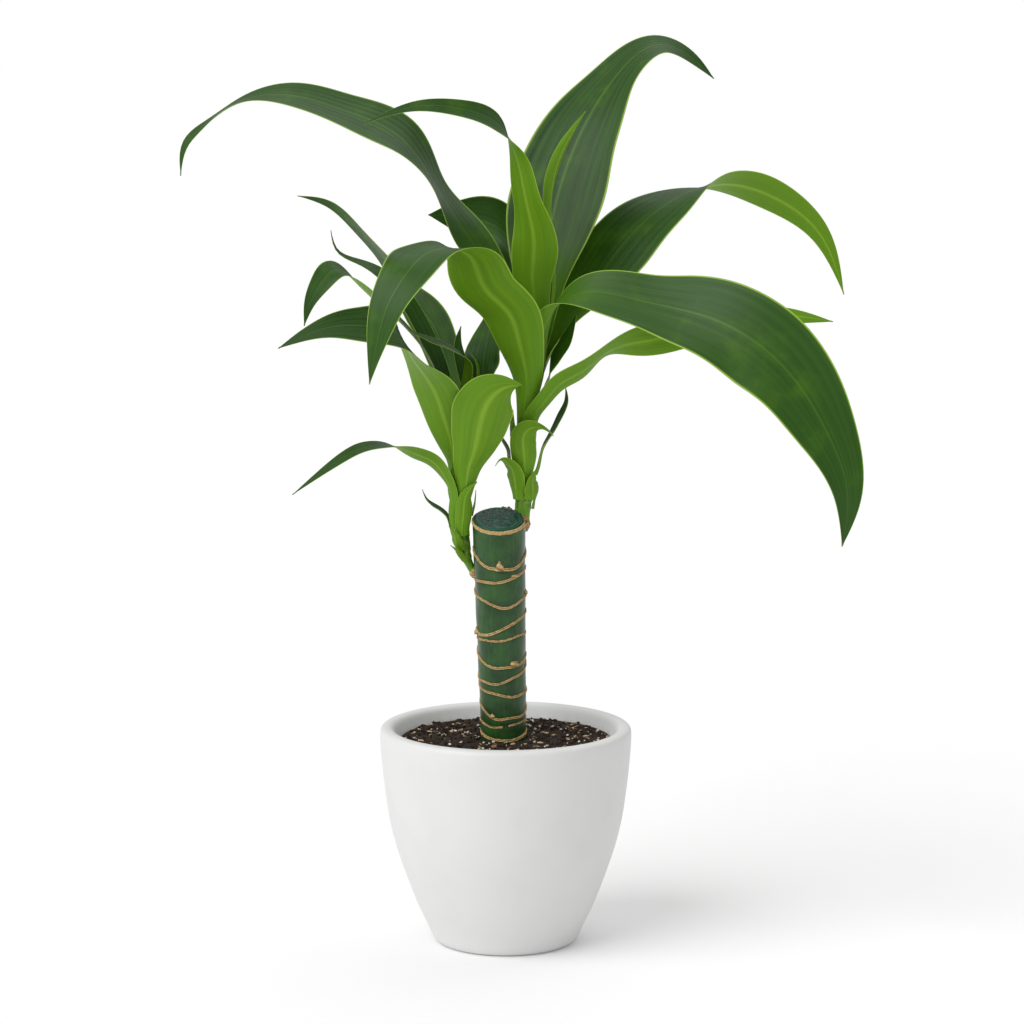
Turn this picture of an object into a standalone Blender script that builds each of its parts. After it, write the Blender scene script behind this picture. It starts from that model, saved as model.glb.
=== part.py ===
"""Potted corn plant: a cane with two leafy shoots in a round white tub.

Everything is written in millimetres and scaled to metres when the meshes are made.
The origin is the centre of the flat base of the tub, +Z is up and -Y is the front.
"""

import math
from dataclasses import dataclass

import bmesh
import bpy
import numpy as np
from mathutils import Vector

MM = 0.001

# Tub
RIM_RADIUS = 85.0
INNER_RADIUS = 76.0
TUB_HEIGHT = 148.0
FLOOR_THICKNESS = 9.0
TUB_STEPS = 44

# Soil
SOIL_EDGE_Z = 137.6
SOIL_CROWN_Z = 139.0
GAP = 0.35

# Cane
CANE_TOP = (-4.7, 0.0, 288.0)
CANE_SOIL = (-1.4, 0.0, 140.0)
CANE_FOOT_Z = 48.0
CANE_TOP_RADIUS = 17.8
CANE_SOIL_RADIUS = 15.2
CANE_FOOT_RADIUS = 14.0
CUT_RISE = 5.6          # the cut face climbs this much from the axis to the back
CANE_SIDES = 28
SCAR_HEIGHT = 0.8
SCAR_HALF_WIDTH = 1.1
CAP_RADIUS = 16.6
CAP_THICKNESS = 1.4

# Leaf scars on the cane: height on the axis, climb to the right, drop to the front
SCARS = [
    (268, -1, 11),
    (253, 3, 4),
    (240, -1, 8),
    (220, 7, 4),
    (211, 2, 2),
    (198, -1, 8),
    (187, 4, 7),
    (175, -2, 4),
    (163, -2, 8),
    (153, 1, 3),
    (146, 0, 3),
]

# Leaves
BLADE_THICKNESS = 1.2
TIP_HALF_WIDTH = 0.4
PATH_STEPS = 96
BIG_GRID = (13, 4)
SMALL_GRID = (9, 2)

# Stems: x, y, z and radius of stations going up
MAIN = [(11.5, 13, 293.4, 5.4), (12, 13, 300, 5.7), (12.5, 13, 320, 6.2), (13.5, 14, 345, 6.6),
        (15, 15, 367, 6.4), (20, 16, 401, 5.0), (27, 16, 434, 2.6)]
LEFT = [(-25, 5, 258.2, 3.2), (-28, 5.5, 270, 4.4), (-29.5, 6, 283, 4.9), (-30, 8, 300, 5.0),
        (-27, 8, 321, 5.2), (-25, 8, 348, 4.6), (-22, 8, 378, 2.6)]


@dataclass
class Leaf:
    """One blade: where it leaves its stem, the path of its midrib, and its width and twist."""

    name: str
    stem: list
    at: float               # height where the base sits on the stem
    heading: float          # compass direction of the base, degrees from +X towards +Y
    path: list              # midrib stations above the sheath
    width: tuple            # half width at the base and at the widest place
    belly: float            # share of the length where the blade is widest
    taper: float = 1.6      # 1 narrows evenly to the tip, more keeps the blade wide for longer
    roll: tuple = ()        # twist about the midrib at each path station, degrees
    curl: tuple = (60, 12)  # half angle of the cross section at the base and on the blade
    rise: float = 12.0      # length of the sheath that clasps the stem
    lean: float = 0.28      # how fast the sheath opens away from the stem
    gap: float = 1.3        # clearance between stem and blade centre
    small: bool = False


LEAVES = [
    # main shoot, from the spear in the middle outwards
    Leaf("new_spear", MAIN, at=422, heading=10, width=(3.5, 6.5), belly=0.65,
         path=[(30, 15, 502), (35, 16, 527), (53, 16, 560)],
         roll=[-35, -60, -55], curl=(60, 70), lean=0.05, small=True),
    Leaf("centre_front", MAIN, at=403, heading=-95, width=(6, 16), belly=0.28, taper=1.2,
         path=[(18, 4, 448), (19, -4, 474), (14, -12, 501), (6, -21, 535), (-7, -30, 554),
               (-27, -38, 562), (-58, -44, 564), (-91, -50, 553)],
         roll=[0, -15, -40, -60, -100, -115, -120, -115]),
    Leaf("tall_back", MAIN, at=394, heading=75, width=(7, 34), belly=0.37, taper=1.6,
         path=[(26, 36, 439), (33, 52, 493), (54, 72, 550), (76, 90, 583), (107, 104, 604),
               (131, 110, 593), (144, 111, 581)],
         roll=[-10, -5, -10, -25, -15, 10, 20]),
    Leaf("long_left", MAIN, at=386, heading=175, width=(8, 26.5), belly=0.42, taper=1.15,
         path=[(-3, 22, 443), (-22, 23, 472), (-48, 28, 512), (-72, 32, 543), (-109, 38, 560),
               (-145, 44, 570), (-179, 49, 566), (-204, 52, 550),
               (-216, 52, 538), (-220, 52, 516)],
         roll=[-20, -30, -5, -30, -35, -35, -20, -30, -60, -60]),
    Leaf("right_back", MAIN, at=382, heading=30, width=(8, 26), belly=0.33, taper=1.4,
         path=[(46, 36, 423), (85, 60, 475), (118, 80, 500), (150, 96, 509), (189, 108, 498),
               (219, 116, 474), (237, 118, 431)],
         roll=[15, 30, 10, -25, -50, -60, -60]),
    Leaf("short_back_left", MAIN, at=377, heading=142, width=(7, 20), belly=0.7,
         path=[(10, 45, 432), (-4, 63, 479), (-25, 67, 487), (-53, 69, 489)],
         roll=[-10, -25, -70, -90]),
    Leaf("broad_right", MAIN, at=372, heading=-72, width=(7, 30), belly=0.6, taper=1.5,
         path=[(23, 1, 402), (31, -6, 430), (49, -13, 441), (90, -27, 437), (135, -50, 427),
               (178, -68, 399), (206, -79, 358), (220, -84, 318), (217, -84, 283)],
         roll=[15, 45, 85, 95, 110, 105, 100, 100, 100]),
    Leaf("back_right_low", MAIN, at=362, heading=-18, width=(5, 9), belly=0.6,
         path=[(31, 5, 391), (40, 3, 407), (47, 0, 426)],
         roll=[25, 40, 45], gap=2, small=True),
    Leaf("front_left", MAIN, at=348, heading=-100, width=(6.5, 25), belly=0.4, taper=2,
         path=[(14, 2, 378), (12, -4, 394), (8, -9, 411), (2, -14, 428), (-14, -23, 446),
               (-23, -33, 467), (-48, -54, 471), (-61, -72, 461), (-74, -82, 441),
               (-81, -84, 419), (-87, -84, 388)],
         roll=[0, -5, -10, -15, -20, -30, -40, -50, -50, -50, -45], lean=0.15),
    Leaf("low_right", MAIN, at=332, heading=-75, width=(5.5, 11), belly=0.45, taper=3,
         path=[(18, 2, 357), (25, 0, 367), (36, -1, 380), (50, 1, 388), (70, 8, 402),
               (99, 18, 408), (137, 28, 417), (175, 36, 423), (222, 43, 418)],
         roll=[5, 15, 20, 30, 45, -10, -30, -35, -30], lean=0.2, gap=2.6),
    # short leaves and scales lower on the main shoot
    Leaf("narrow_left_b", MAIN, at=326, heading=-150, width=(4.5, 5.5), belly=0.45,
         path=[(5, 6, 341), (4, 4, 352), (5, 3, 362)],
         roll=[0, 0, 0], curl=(55, 25), rise=6, lean=0.2, gap=2, small=True),
    Leaf("narrow_left_a", MAIN, at=321, heading=170, width=(3, 4), belly=0.4,
         path=[(1, 14, 334), (-3, 12, 342), (-4, 11, 352)],
         roll=[0, 0, 0], curl=(55, 25), rise=5, lean=0.35, gap=2.6, small=True),
    Leaf("thin_right", MAIN, at=317, heading=0, width=(3.2, 4), belly=0.4, taper=2.6,
         path=[(25, 11, 335), (31, 12, 345), (37, 13, 357), (41, 14, 367), (40, 15, 377)],
         roll=[0, 15, 30, 35, 35], curl=(55, 25), rise=5, lean=0.3, gap=1.8, small=True),
    Leaf("folded_small", MAIN, at=313, heading=-90, width=(6, 9), belly=0.4, taper=2,
         path=[(12, 1, 335), (12, -1, 345), (17, -5, 351), (25, -8, 351), (32, -10, 346)],
         roll=[0, 0, 10, 20, 25], curl=(62, 25), rise=6, lean=0.12, gap=2.2),
    Leaf("main_scale_2", MAIN, at=301, heading=-130, width=(6, 7.5), belly=0.45, taper=1.8,
         path=[(6, 4, 317), (2, 1, 326), (-3, -1, 329), (-7, -2, 325)],
         curl=(60, 25), rise=6, lean=0.12, gap=1.7, small=True),
    Leaf("main_scale_3", MAIN, at=301, heading=-55, width=(5, 6), belly=0.35, taper=1.3,
         path=[(18, 2.5, 313), (20, 2.5, 322)],
         curl=(42, 30), rise=5, lean=0.2, gap=3.8, small=True),
    Leaf("main_scale_1", MAIN, at=303, heading=155, width=(2.6, 3), belly=0.3, taper=1.4,
         path=[(4, 17, 312), (2, 17, 319)],
         curl=(50, 30), rise=4, lean=0.3, gap=1.3, small=True),
    Leaf("main_scale_0", MAIN, at=294, heading=0, width=(2.6, 3), belly=0.3, taper=1.4,
         path=[(19.5, 13, 300), (21, 13, 304)],
         curl=(50, 40), rise=3, lean=0.1, small=True),
    # left shoot, from the middle outwards
    Leaf("left_spear", LEFT, at=367, heading=0, width=(2.6, 3.3), belly=0.3, taper=2,
         path=[(-18, 8, 385), (-19, 8, 393), (-24, 8, 400)],
         curl=(50, 50), rise=4, lean=0.05, small=True),
    Leaf("left_tip_tiny", LEFT, at=361, heading=100, width=(3.7, 4.8), belly=0.4, taper=2,
         path=[(-30, 16, 393), (-32, 17, 407), (-30, 18, 417)],
         curl=(50, 30), rise=6, lean=0.15, small=True),
    Leaf("strip_left", LEFT, at=354, heading=-150, width=(4.7, 6.2), belly=0.6, taper=2,
         path=[(-26, -5, 396), (-41, -14, 407), (-64, -22, 417)],
         roll=[0, -10, -20], small=True),
    Leaf("back_mid", LEFT, at=349, heading=5, width=(5, 16.5), belly=0.64,
         path=[(-15, 14, 380), (-15, 17, 394), (-11, 22, 412), (-3, 34, 440)],
         roll=[30, 45, 30, 15]),
    Leaf("back_left_long", LEFT, at=340, heading=80, width=(6, 17), belly=0.47, taper=1.1,
         path=[(-38, 36, 386), (-50, 46, 417), (-65, 50, 435), (-80, 55, 457), (-99, 60, 478),
               (-119, 64, 496), (-142, 66, 502)],
         roll=[-20, -35, -50, -70, -70, -50, -35]),
    Leaf("left_thin_behind", LEFT, at=312, heading=40, width=(2, 2.5), belly=0.3, taper=2,
         path=[(-20, 16, 324), (-18, 17, 335)],
         curl=(50, 20), rise=5, small=True),
    Leaf("folded_left", LEFT, at=311, heading=165, width=(5, 13), belly=0.72, taper=1.2,
         path=[(-38, 8, 355), (-55, 6, 403), (-76, -1, 427), (-98, -10, 448), (-112, -18, 457),
               (-121, -25, 449), (-128, -28, 437), (-132, -30, 421)],
         roll=[10, 20, 30, 30, 10, -10, -20, -30], lean=0.2, gap=1.8),
    Leaf("boat_front", LEFT, at=298, heading=-80, width=(5, 22), belly=0.64, taper=1.8,
         path=[(-25, -7, 322), (-21, -14, 336), (-17, -23, 355), (-10, -30, 373),
               (0, -34, 381), (11, -37, 383)],
         roll=[0, -5, -10, -10, 5, 25], curl=(50, 42), lean=0.3, gap=3.8),
    Leaf("twisted_tip", LEFT, at=307, heading=95, width=(4.5, 6.5), belly=0.8, taper=2,
         path=[(-36, 20, 345), (-42, 20, 380), (-55, 20, 414), (-75, 22, 444), (-98, 24, 459),
               (-113, 23, 467), (-117, 22, 481)],
         roll=[5, 10, 20, 40, 65, 70, 65], gap=2.8, small=True),
    Leaf("broad_left", LEFT, at=299, heading=-165, width=(5.5, 25), belly=0.52, taper=1.1,
         path=[(-35, 1, 327), (-40, -3, 355), (-49, -9, 380), (-62, -18, 400), (-71, -30, 416),
               (-91, -44, 422), (-114, -54, 422), (-147, -60, 409)],
         roll=[45, 50, 30, 5, -10, -22, -22, -20], gap=1.6),
    Leaf("left_thin_dark", LEFT, at=290, heading=5, width=(2, 2.2), belly=0.4, taper=2.5,
         path=[(-21, 4, 298), (-20, 4, 308)],
         curl=(50, 20), rise=4, gap=1.8, small=True),
    Leaf("low_left_arch", LEFT, at=281, heading=-150, width=(4.5, 8.5), belly=0.5, taper=1.2,
         path=[(-36, -1, 305), (-41, -3, 319), (-48, -5, 328), (-57, -8, 333),
               (-72, -13, 339), (-93, -24, 340), (-118, -34, 327), (-140, -42, 311)],
         roll=[5, 15, 25, 25, 0, -25, -30, -40], lean=0.12, gap=2.4),
    # scales at the foot of the left shoot
    Leaf("left_sheath_a", LEFT, at=278, heading=-86, width=(4.8, 6.2), belly=0.45, taper=1.3,
         path=[(-28, -4, 294), (-27, -6, 304), (-24, -7, 310), (-19, -7, 315)],
         curl=(48, 40), rise=6, lean=0.2, gap=4.2, small=True),
    Leaf("thin_left_low", LEFT, at=273, heading=160, width=(2.6, 3), belly=0.35, taper=2.5,
         path=[(-40, 9, 290), (-47, 8, 296), (-53, 7, 301), (-56, 7, 308)],
         curl=(55, 25), rise=4, lean=0.3, gap=1.6, small=True),
    Leaf("left_sheath_b", LEFT, at=267, heading=-125, width=(3.8, 4.6), belly=0.35, taper=1.4,
         path=[(-34, -4, 278), (-38, -6, 285)],
         curl=(55, 40), rise=4, lean=0.4, gap=1.7, small=True),
    Leaf("left_bract", LEFT, at=260, heading=-125, width=(3, 3.4), belly=0.3, taper=1.4,
         path=[(-32, -4, 267), (-37, -6, 272)],
         curl=(55, 35), rise=3, lean=0.5, gap=1.4, small=True),
]


# ---------------------------------------------------------------- scene and materials

def clear_scene():
    """Take away everything that a new file starts with."""
    for old in list(bpy.data.objects):
        bpy.data.objects.remove(old, do_unlink=True)


def material(name, colour, roughness, metallic=0.0):
    """A plain Principled material."""
    made = bpy.data.materials.new(name)
    made.use_nodes = True
    shader = made.node_tree.nodes["Principled BSDF"]
    shader.inputs["Base Color"].default_value = (*colour, 1.0)
    shader.inputs["Roughness"].default_value = roughness
    shader.inputs["Metallic"].default_value = metallic
    made.diffuse_color = (*colour, 1.0)
    return made


def tub_ceramic():
    return material("tub_ceramic", (0.84, 0.84, 0.83), 0.55)


def potting_soil():
    return material("potting_soil", (0.05, 0.035, 0.025), 0.95)


def cane_bark():
    return material("cane_bark", (0.05, 0.11, 0.04), 0.4)


def sealing_wax():
    return material("sealing_wax", (0.02, 0.1, 0.07), 0.35)


def stem_skin():
    return material("stem_skin", (0.2, 0.36, 0.06), 0.45)


def leaf_skin():
    return material("leaf_skin", (0.05, 0.17, 0.03), 0.38)


def collection(name):
    """A collection linked to the scene."""
    made = bpy.data.collections.new(name)
    bpy.context.scene.collection.children.link(made)
    return made


def add_object(name, mesh, group, finish):
    """Link a mesh as a named object with one material."""
    made = bpy.data.objects.new(name, mesh)
    group.objects.link(made)
    if finish is not None:
        made.data.materials.append(finish)
    return made


def mesh_from(name, points, faces):
    """Mesh in metres from points in millimetres."""
    mesh = bpy.data.meshes.new(name)
    mesh.from_pydata([tuple(c * MM for c in p) for p in points], [], faces)
    mesh.update()
    mesh.shade_smooth()
    mesh.set_sharp_from_angle(angle=math.radians(40))
    return mesh


# ---------------------------------------------------------------- turned shapes

def turned(name, profile, group, finish, steps):
    """Turn a closed profile of (radius, height) about +Z; it runs top to bottom outside."""
    points = [(r, 0.0, z) for r, z in profile]
    mesh = bpy.data.meshes.new(name)
    edges = [(i, i + 1) for i in range(len(points) - 1)]
    mesh.from_pydata([tuple(c * MM for c in p) for p in points], edges, [])
    made = add_object(name, mesh, group, finish)
    screw = made.modifiers.new("Turn", 'SCREW')
    screw.axis = 'Z'
    screw.steps = steps
    screw.render_steps = steps
    screw.use_merge_vertices = True
    screw.merge_threshold = 0.00005
    screw.use_smooth_shade = True
    return made


def tub_outside():
    """Outer face of the tub from the rim down to the base."""
    return [(81.5, TUB_HEIGHT), (83.6, TUB_HEIGHT - 0.6), (84.7, TUB_HEIGHT - 2.0),
            (RIM_RADIUS, TUB_HEIGHT - 4.5), (84.6, 132), (83.4, 118), (81.5, 102), (78.4, 82),
            (73.2, 62), (66.0, 41), (57.5, 20), (52.0, 8.5), (49.2, 2.6), (46.5, 0.4),
            (44.0, 0.0)]


def tub_inside():
    """Inner face of the tub from the middle of its floor up to the rim."""
    return [(0.0, FLOOR_THICKNESS), (34.0, FLOOR_THICKNESS), (40.0, 12.0), (45.0, 22),
            (53.0, 42), (60.0, 63), (64.6, 83), (67.6, 103), (69.2, 119), (70.0, 130),
            (71.6, 137), (73.8, 142.5), (INNER_RADIUS, TUB_HEIGHT - 1.6),
            (78.4, TUB_HEIGHT - 0.2)]


def build_tub(group):
    profile = tub_inside() + tub_outside() + [(0.0, 0.0)]
    return turned("tub", profile, group, tub_ceramic(), TUB_STEPS)


def build_soil(group, cutters):
    """Soil fills the tub up to a low mound, with a socket for the cane."""
    wall = [(r - GAP * 1.6, z) for r, z in tub_inside() if 12.0 < z < SOIL_EDGE_Z - 2.0]
    wall.reverse()
    top = [(0.0, SOIL_CROWN_Z), (30.0, SOIL_CROWN_Z), (54.0, SOIL_EDGE_Z + 1.2),
           (66.0, SOIL_EDGE_Z + 0.4), (70.4, SOIL_EDGE_Z - 0.6)]
    floor = [(39.2, 12.0 + GAP), (33.5, FLOOR_THICKNESS + GAP), (0.0, FLOOR_THICKNESS + GAP)]
    soil = turned("soil", top + wall + floor, group, potting_soil(), TUB_STEPS)
    rows = [cane_ring(CANE_FOOT_Z - GAP, 0, 0, GAP), cane_ring(SOIL_CROWN_Z + 20, 0, 0, GAP)]
    socket = add_object("socket", closed_tube("socket", rows), cutters, None)
    socket.hide_render = True
    socket.display_type = 'WIRE'
    cut = soil.modifiers.new("Socket", 'BOOLEAN')
    cut.operation = 'DIFFERENCE'
    cut.solver = 'EXACT'
    cut.object = socket
    return soil


# ---------------------------------------------------------------- cane

def cane_axis(z):
    """Centre and radius of the cane at a height."""
    t = (z - CANE_SOIL[2]) / (CANE_TOP[2] - CANE_SOIL[2])
    x = CANE_SOIL[0] + t * (CANE_TOP[0] - CANE_SOIL[0])
    if t < 0.0:
        u = (z - CANE_FOOT_Z) / (CANE_SOIL[2] - CANE_FOOT_Z)
        return x, CANE_FOOT_RADIUS + u * (CANE_SOIL_RADIUS - CANE_FOOT_RADIUS)
    return x, CANE_SOIL_RADIUS + t * (CANE_TOP_RADIUS - CANE_SOIL_RADIUS)


def cane_ring(z, climb, drop, grow):
    """One tilted ring of points around the cane."""
    points = []
    for k in range(CANE_SIDES):
        a = 2.0 * math.pi * k / CANE_SIDES
        height = z + climb * math.cos(a) + drop * math.sin(a)
        x, radius = cane_axis(height)
        radius += grow
        points.append((x + radius * math.cos(a), radius * math.sin(a), height))
    return points


def closed_tube(name, rings):
    """Skin a stack of equal rings, with a flat face at both ends."""
    n = len(rings[0])
    points = [p for ring in rings for p in ring]
    faces = [tuple(range(n - 1, -1, -1))]
    for r in range(len(rings) - 1):
        for k in range(n):
            a = r * n + k
            b = r * n + (k + 1) % n
            faces.append((a, b, b + n, a + n))
    faces.append(tuple(range((len(rings) - 1) * n, len(rings) * n)))
    return mesh_from(name, points, faces)


def cane_rings():
    """Rings from the buried foot to the sloping cut."""
    rings = [cane_ring(CANE_FOOT_Z, 0, 0, 0)]
    for z, climb, drop in reversed(SCARS):
        rings.append(cane_ring(z - SCAR_HALF_WIDTH, climb, drop, 0))
        rings.append(cane_ring(z, climb, drop, SCAR_HEIGHT))
        rings.append(cane_ring(z + SCAR_HALF_WIDTH, climb, drop, 0))
    z = CANE_TOP[2]
    rings.append(cane_ring(z - 4.6, 0, CUT_RISE, 0))
    rings.append(cane_ring(z - 3.4, 0, CUT_RISE, SCAR_HEIGHT))
    rings.append(cane_ring(z - 1.8, 0, CUT_RISE, SCAR_HEIGHT))
    rings.append(cane_ring(z, 0, CUT_RISE, 0))
    return rings


def knuckle(name, centre, radii, cutters):
    """Swelling that a shoot grows from, joined to the cane."""
    mesh = bpy.data.meshes.new(name)
    shape = bmesh.new()
    bmesh.ops.create_uvsphere(shape, u_segments=14, v_segments=8, radius=1.0)
    bmesh.ops.scale(shape, vec=Vector(radii) * MM, verts=shape.verts)
    bmesh.ops.translate(shape, vec=Vector(centre) * MM, verts=shape.verts)
    shape.to_mesh(mesh)
    shape.free()
    made = add_object(name, mesh, cutters, None)
    made.hide_render = True
    made.display_type = 'WIRE'
    return made


def build_cane(group, cutters):
    cane = add_object("cane", closed_tube("cane", cane_rings()), group, cane_bark())
    swellings = [("knuckle_main", (10.5, 11.5, 284.0), (6.0, 6.4, 6.2)),
                 ("knuckle_left", (-22.6, 4.0, 253.0), (4.6, 4.6, 4.6))]
    for name, centre, radii in swellings:
        join = cane.modifiers.new(name, 'BOOLEAN')
        join.operation = 'UNION'
        join.solver = 'EXACT'
        join.object = knuckle(name, centre, radii, cutters)
    return cane


def build_cap(group):
    """Wax disc poured on the sloping cut."""
    slope = CUT_RISE / CANE_TOP_RADIUS
    rings = []
    for radius, lift in [(CAP_RADIUS, GAP), (CAP_RADIUS, CAP_THICKNESS - 0.3),
                         (CAP_RADIUS - 0.6, CAP_THICKNESS), (CAP_RADIUS * 0.6, CAP_THICKNESS - 0.3)]:
        ring = []
        for k in range(CANE_SIDES):
            a = 2.0 * math.pi * k / CANE_SIDES
            y = radius * math.sin(a)
            ring.append((CANE_TOP[0] + radius * math.cos(a), y, CANE_TOP[2] + slope * y + lift))
        rings.append(ring)
    return add_object("cane_cap", closed_tube("cane_cap", rings), group, sealing_wax())


# ---------------------------------------------------------------- stems and leaves

def spline(knots, values, at):
    """Natural cubic spline through rows of values."""
    t = np.asarray(knots, float)
    v = np.asarray(values, float).reshape(len(t), -1)
    h = np.diff(t)
    n = len(t)
    left = np.eye(n)
    right = np.zeros((n, v.shape[1]))
    for i in range(1, n - 1):
        left[i, i - 1] = h[i - 1]
        left[i, i] = 2.0 * (h[i - 1] + h[i])
        left[i, i + 1] = h[i]
        right[i] = 6.0 * ((v[i + 1] - v[i]) / h[i] - (v[i] - v[i - 1]) / h[i - 1])
    bend = np.linalg.solve(left, right)
    at = np.asarray(at, float)
    i = np.clip(np.searchsorted(t, at, side='right') - 1, 0, n - 2)
    a = (t[i + 1] - at)[:, None]
    b = (at - t[i])[:, None]
    h = h[i][:, None]
    curve = (bend[i] * a ** 3 + bend[i + 1] * b ** 3) / (6.0 * h)
    return curve + (v[i] / h - bend[i] * h / 6.0) * a + (v[i + 1] / h - bend[i + 1] * h / 6.0) * b


def chord_lengths(points):
    """Distance run along a list of points."""
    return np.concatenate([[0.0], np.cumsum(np.linalg.norm(np.diff(points, axis=0), axis=1))])


def stem_at(stem, z):
    """Centre and radius of a stem at a height."""
    s = np.asarray(stem, float)
    centre = np.array([np.interp(z, s[:, 2], s[:, 0]), np.interp(z, s[:, 2], s[:, 1]), z])
    return centre, float(np.interp(z, s[:, 2], s[:, 3]))


def leaf_stations(leaf):
    """The two sheath stations followed by the path."""
    angle = math.radians(leaf.heading)
    out = np.array([math.cos(angle), math.sin(angle), 0.0])
    low, low_radius = stem_at(leaf.stem, leaf.at)
    high, high_radius = stem_at(leaf.stem, leaf.at + leaf.rise)
    high_radius = max(high_radius, 0.8 * low_radius)
    first = low + out * (low_radius + leaf.gap)
    second = high + out * (high_radius + leaf.gap + leaf.lean * leaf.rise)
    return np.array([first, second] + [np.array(p, float) for p in leaf.path])


def leaf_frames(leaf):
    """Evenly spaced midrib points with the side and face directions of the blade."""
    stations = leaf_stations(leaf)
    knots = chord_lengths(stations)
    at = np.linspace(0.0, knots[-1], 4 * PATH_STEPS + 1)
    run = chord_lengths(spline(knots, stations, at))
    even = np.interp(np.linspace(0.0, run[-1], PATH_STEPS + 1), run, at)
    mid = spline(knots, stations, even)
    along = np.gradient(mid, axis=0)
    along /= np.linalg.norm(along, axis=1)[:, None]
    angle = math.radians(leaf.heading)
    side = np.array([-math.sin(angle), math.cos(angle), 0.0])
    sides = np.zeros_like(mid)
    for i, direction in enumerate(along):
        side = side - direction * (side @ direction)
        side /= np.linalg.norm(side)
        sides[i] = side
    faces = np.cross(along, sides)
    twist = [0.0, 0.0] + list(leaf.roll or [0.0] * len(leaf.path))
    roll = np.radians(spline(knots, twist, even))
    turned_side = np.cos(roll) * sides + np.sin(roll) * faces
    turned_face = np.cos(roll) * faces - np.sin(roll) * sides
    return mid, turned_side, turned_face


def half_width(leaf, t):
    """Half width of the blade at a share of its length."""
    neck, widest = leaf.width
    if t < leaf.belly:
        ease = t / leaf.belly
        return neck + (widest - neck) * ease * ease * (3.0 - 2.0 * ease)
    ease = (t - leaf.belly) / (1.0 - leaf.belly)
    return max(widest * (1.0 - ease ** leaf.taper), TIP_HALF_WIDTH)


def leaf_curl(leaf, t):
    """Half angle of the cross section, easing from the sheath to the blade."""
    ease = min(max(t / 0.3, 0.0), 1.0)
    ease = ease * ease * (3.0 - 2.0 * ease)
    return math.radians(leaf.curl[0] + (leaf.curl[1] - leaf.curl[0]) * ease)


def leaf_grid(leaf, rows, columns):
    """Points of the blade's middle surface, rows along it and columns across it."""
    mid, side, face = leaf_frames(leaf)
    grid = []
    for i in np.round(np.linspace(0, 1, rows) * PATH_STEPS).astype(int):
        arc = leaf_curl(leaf, i / PATH_STEPS)
        half = half_width(leaf, i / PATH_STEPS)
        for u in np.linspace(-1.0, 1.0, columns + 1):
            across = half * math.sin(arc * u) / arc
            lift = half * (1.0 - math.cos(arc * u)) / arc
            grid.append(mid[i] + side[i] * across + face[i] * lift)
    return grid


def build_leaf(leaf, group, finish):
    """Open grid of the blade, thickened evenly to both sides."""
    rows, columns = SMALL_GRID if leaf.small else BIG_GRID
    points = leaf_grid(leaf, rows, columns)
    wide = columns + 1
    faces = []
    for r in range(rows - 1):
        for c in range(columns):
            a = r * wide + c
            faces.append((a, a + 1, a + 1 + wide, a + wide))
    made = add_object(leaf.name, mesh_from(leaf.name, points, faces), group, finish)
    skin = made.modifiers.new("Thickness", 'SOLIDIFY')
    skin.thickness = BLADE_THICKNESS * MM
    skin.offset = 0.0
    return made


def build_stem(name, stem, group, finish):
    """Tapering core that the sheaths wrap."""
    s = np.asarray(stem, float)
    knots = chord_lengths(s[:, :3])
    rings = []
    for t in np.linspace(0.0, knots[-1], 13):
        centre = spline(knots, s[:, :3], [t])[0]
        radius = float(np.interp(t, knots, s[:, 3]))
        angles = [2.0 * math.pi * k / 14 for k in range(14)]
        rings.append([(centre[0] + radius * math.cos(a), centre[1] + radius * math.sin(a),
                       centre[2]) for a in angles])
    return add_object(name, closed_tube(name, rings), group, finish)


def main():
    """Build every piece of the plant."""
    clear_scene()
    group = collection("potted_corn_plant")
    cutters = collection("cutters")
    build_tub(group)
    build_soil(group, cutters)
    build_cane(group, cutters)
    build_cap(group)
    skin = stem_skin()
    build_stem("main_stem", MAIN, group, skin)
    build_stem("left_stem", LEFT, group, skin)
    green = leaf_skin()
    for leaf in LEAVES:
        build_leaf(leaf, group, green)


if __name__ == "__main__":
    main()
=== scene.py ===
"""Potted corn plant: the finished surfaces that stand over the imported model.

The frame supplies every solid of the plant. Each class below holds the sizes of one
sub-assembly, builds its visible pieces and dresses them. Lengths are in millimetres
until a mesh is made, with the origin under the middle of the tub, +Z up and -Y to the
front.
"""

import logging
import math
import random
from dataclasses import dataclass, field
from enum import Enum

import bmesh
import bpy
import numpy as np
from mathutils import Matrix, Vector


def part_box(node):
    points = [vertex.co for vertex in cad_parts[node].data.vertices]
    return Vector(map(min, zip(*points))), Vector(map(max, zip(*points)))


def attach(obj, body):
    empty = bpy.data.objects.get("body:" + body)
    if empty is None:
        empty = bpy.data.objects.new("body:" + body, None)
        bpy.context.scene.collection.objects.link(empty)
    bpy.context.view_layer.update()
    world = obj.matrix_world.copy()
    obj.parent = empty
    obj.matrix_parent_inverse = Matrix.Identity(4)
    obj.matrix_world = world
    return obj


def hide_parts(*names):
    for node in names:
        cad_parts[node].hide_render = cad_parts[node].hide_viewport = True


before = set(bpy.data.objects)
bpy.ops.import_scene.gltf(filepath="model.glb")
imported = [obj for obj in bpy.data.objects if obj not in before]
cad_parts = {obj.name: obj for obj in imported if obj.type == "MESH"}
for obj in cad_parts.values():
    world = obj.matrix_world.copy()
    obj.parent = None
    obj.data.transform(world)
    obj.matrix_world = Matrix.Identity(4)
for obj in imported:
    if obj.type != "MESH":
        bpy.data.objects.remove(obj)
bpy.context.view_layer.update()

MM = 0.001
LOG = logging.getLogger("corn_plant")

Colour = tuple[float, float, float]


# ------------------------------------------------------------------ shader maths

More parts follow.
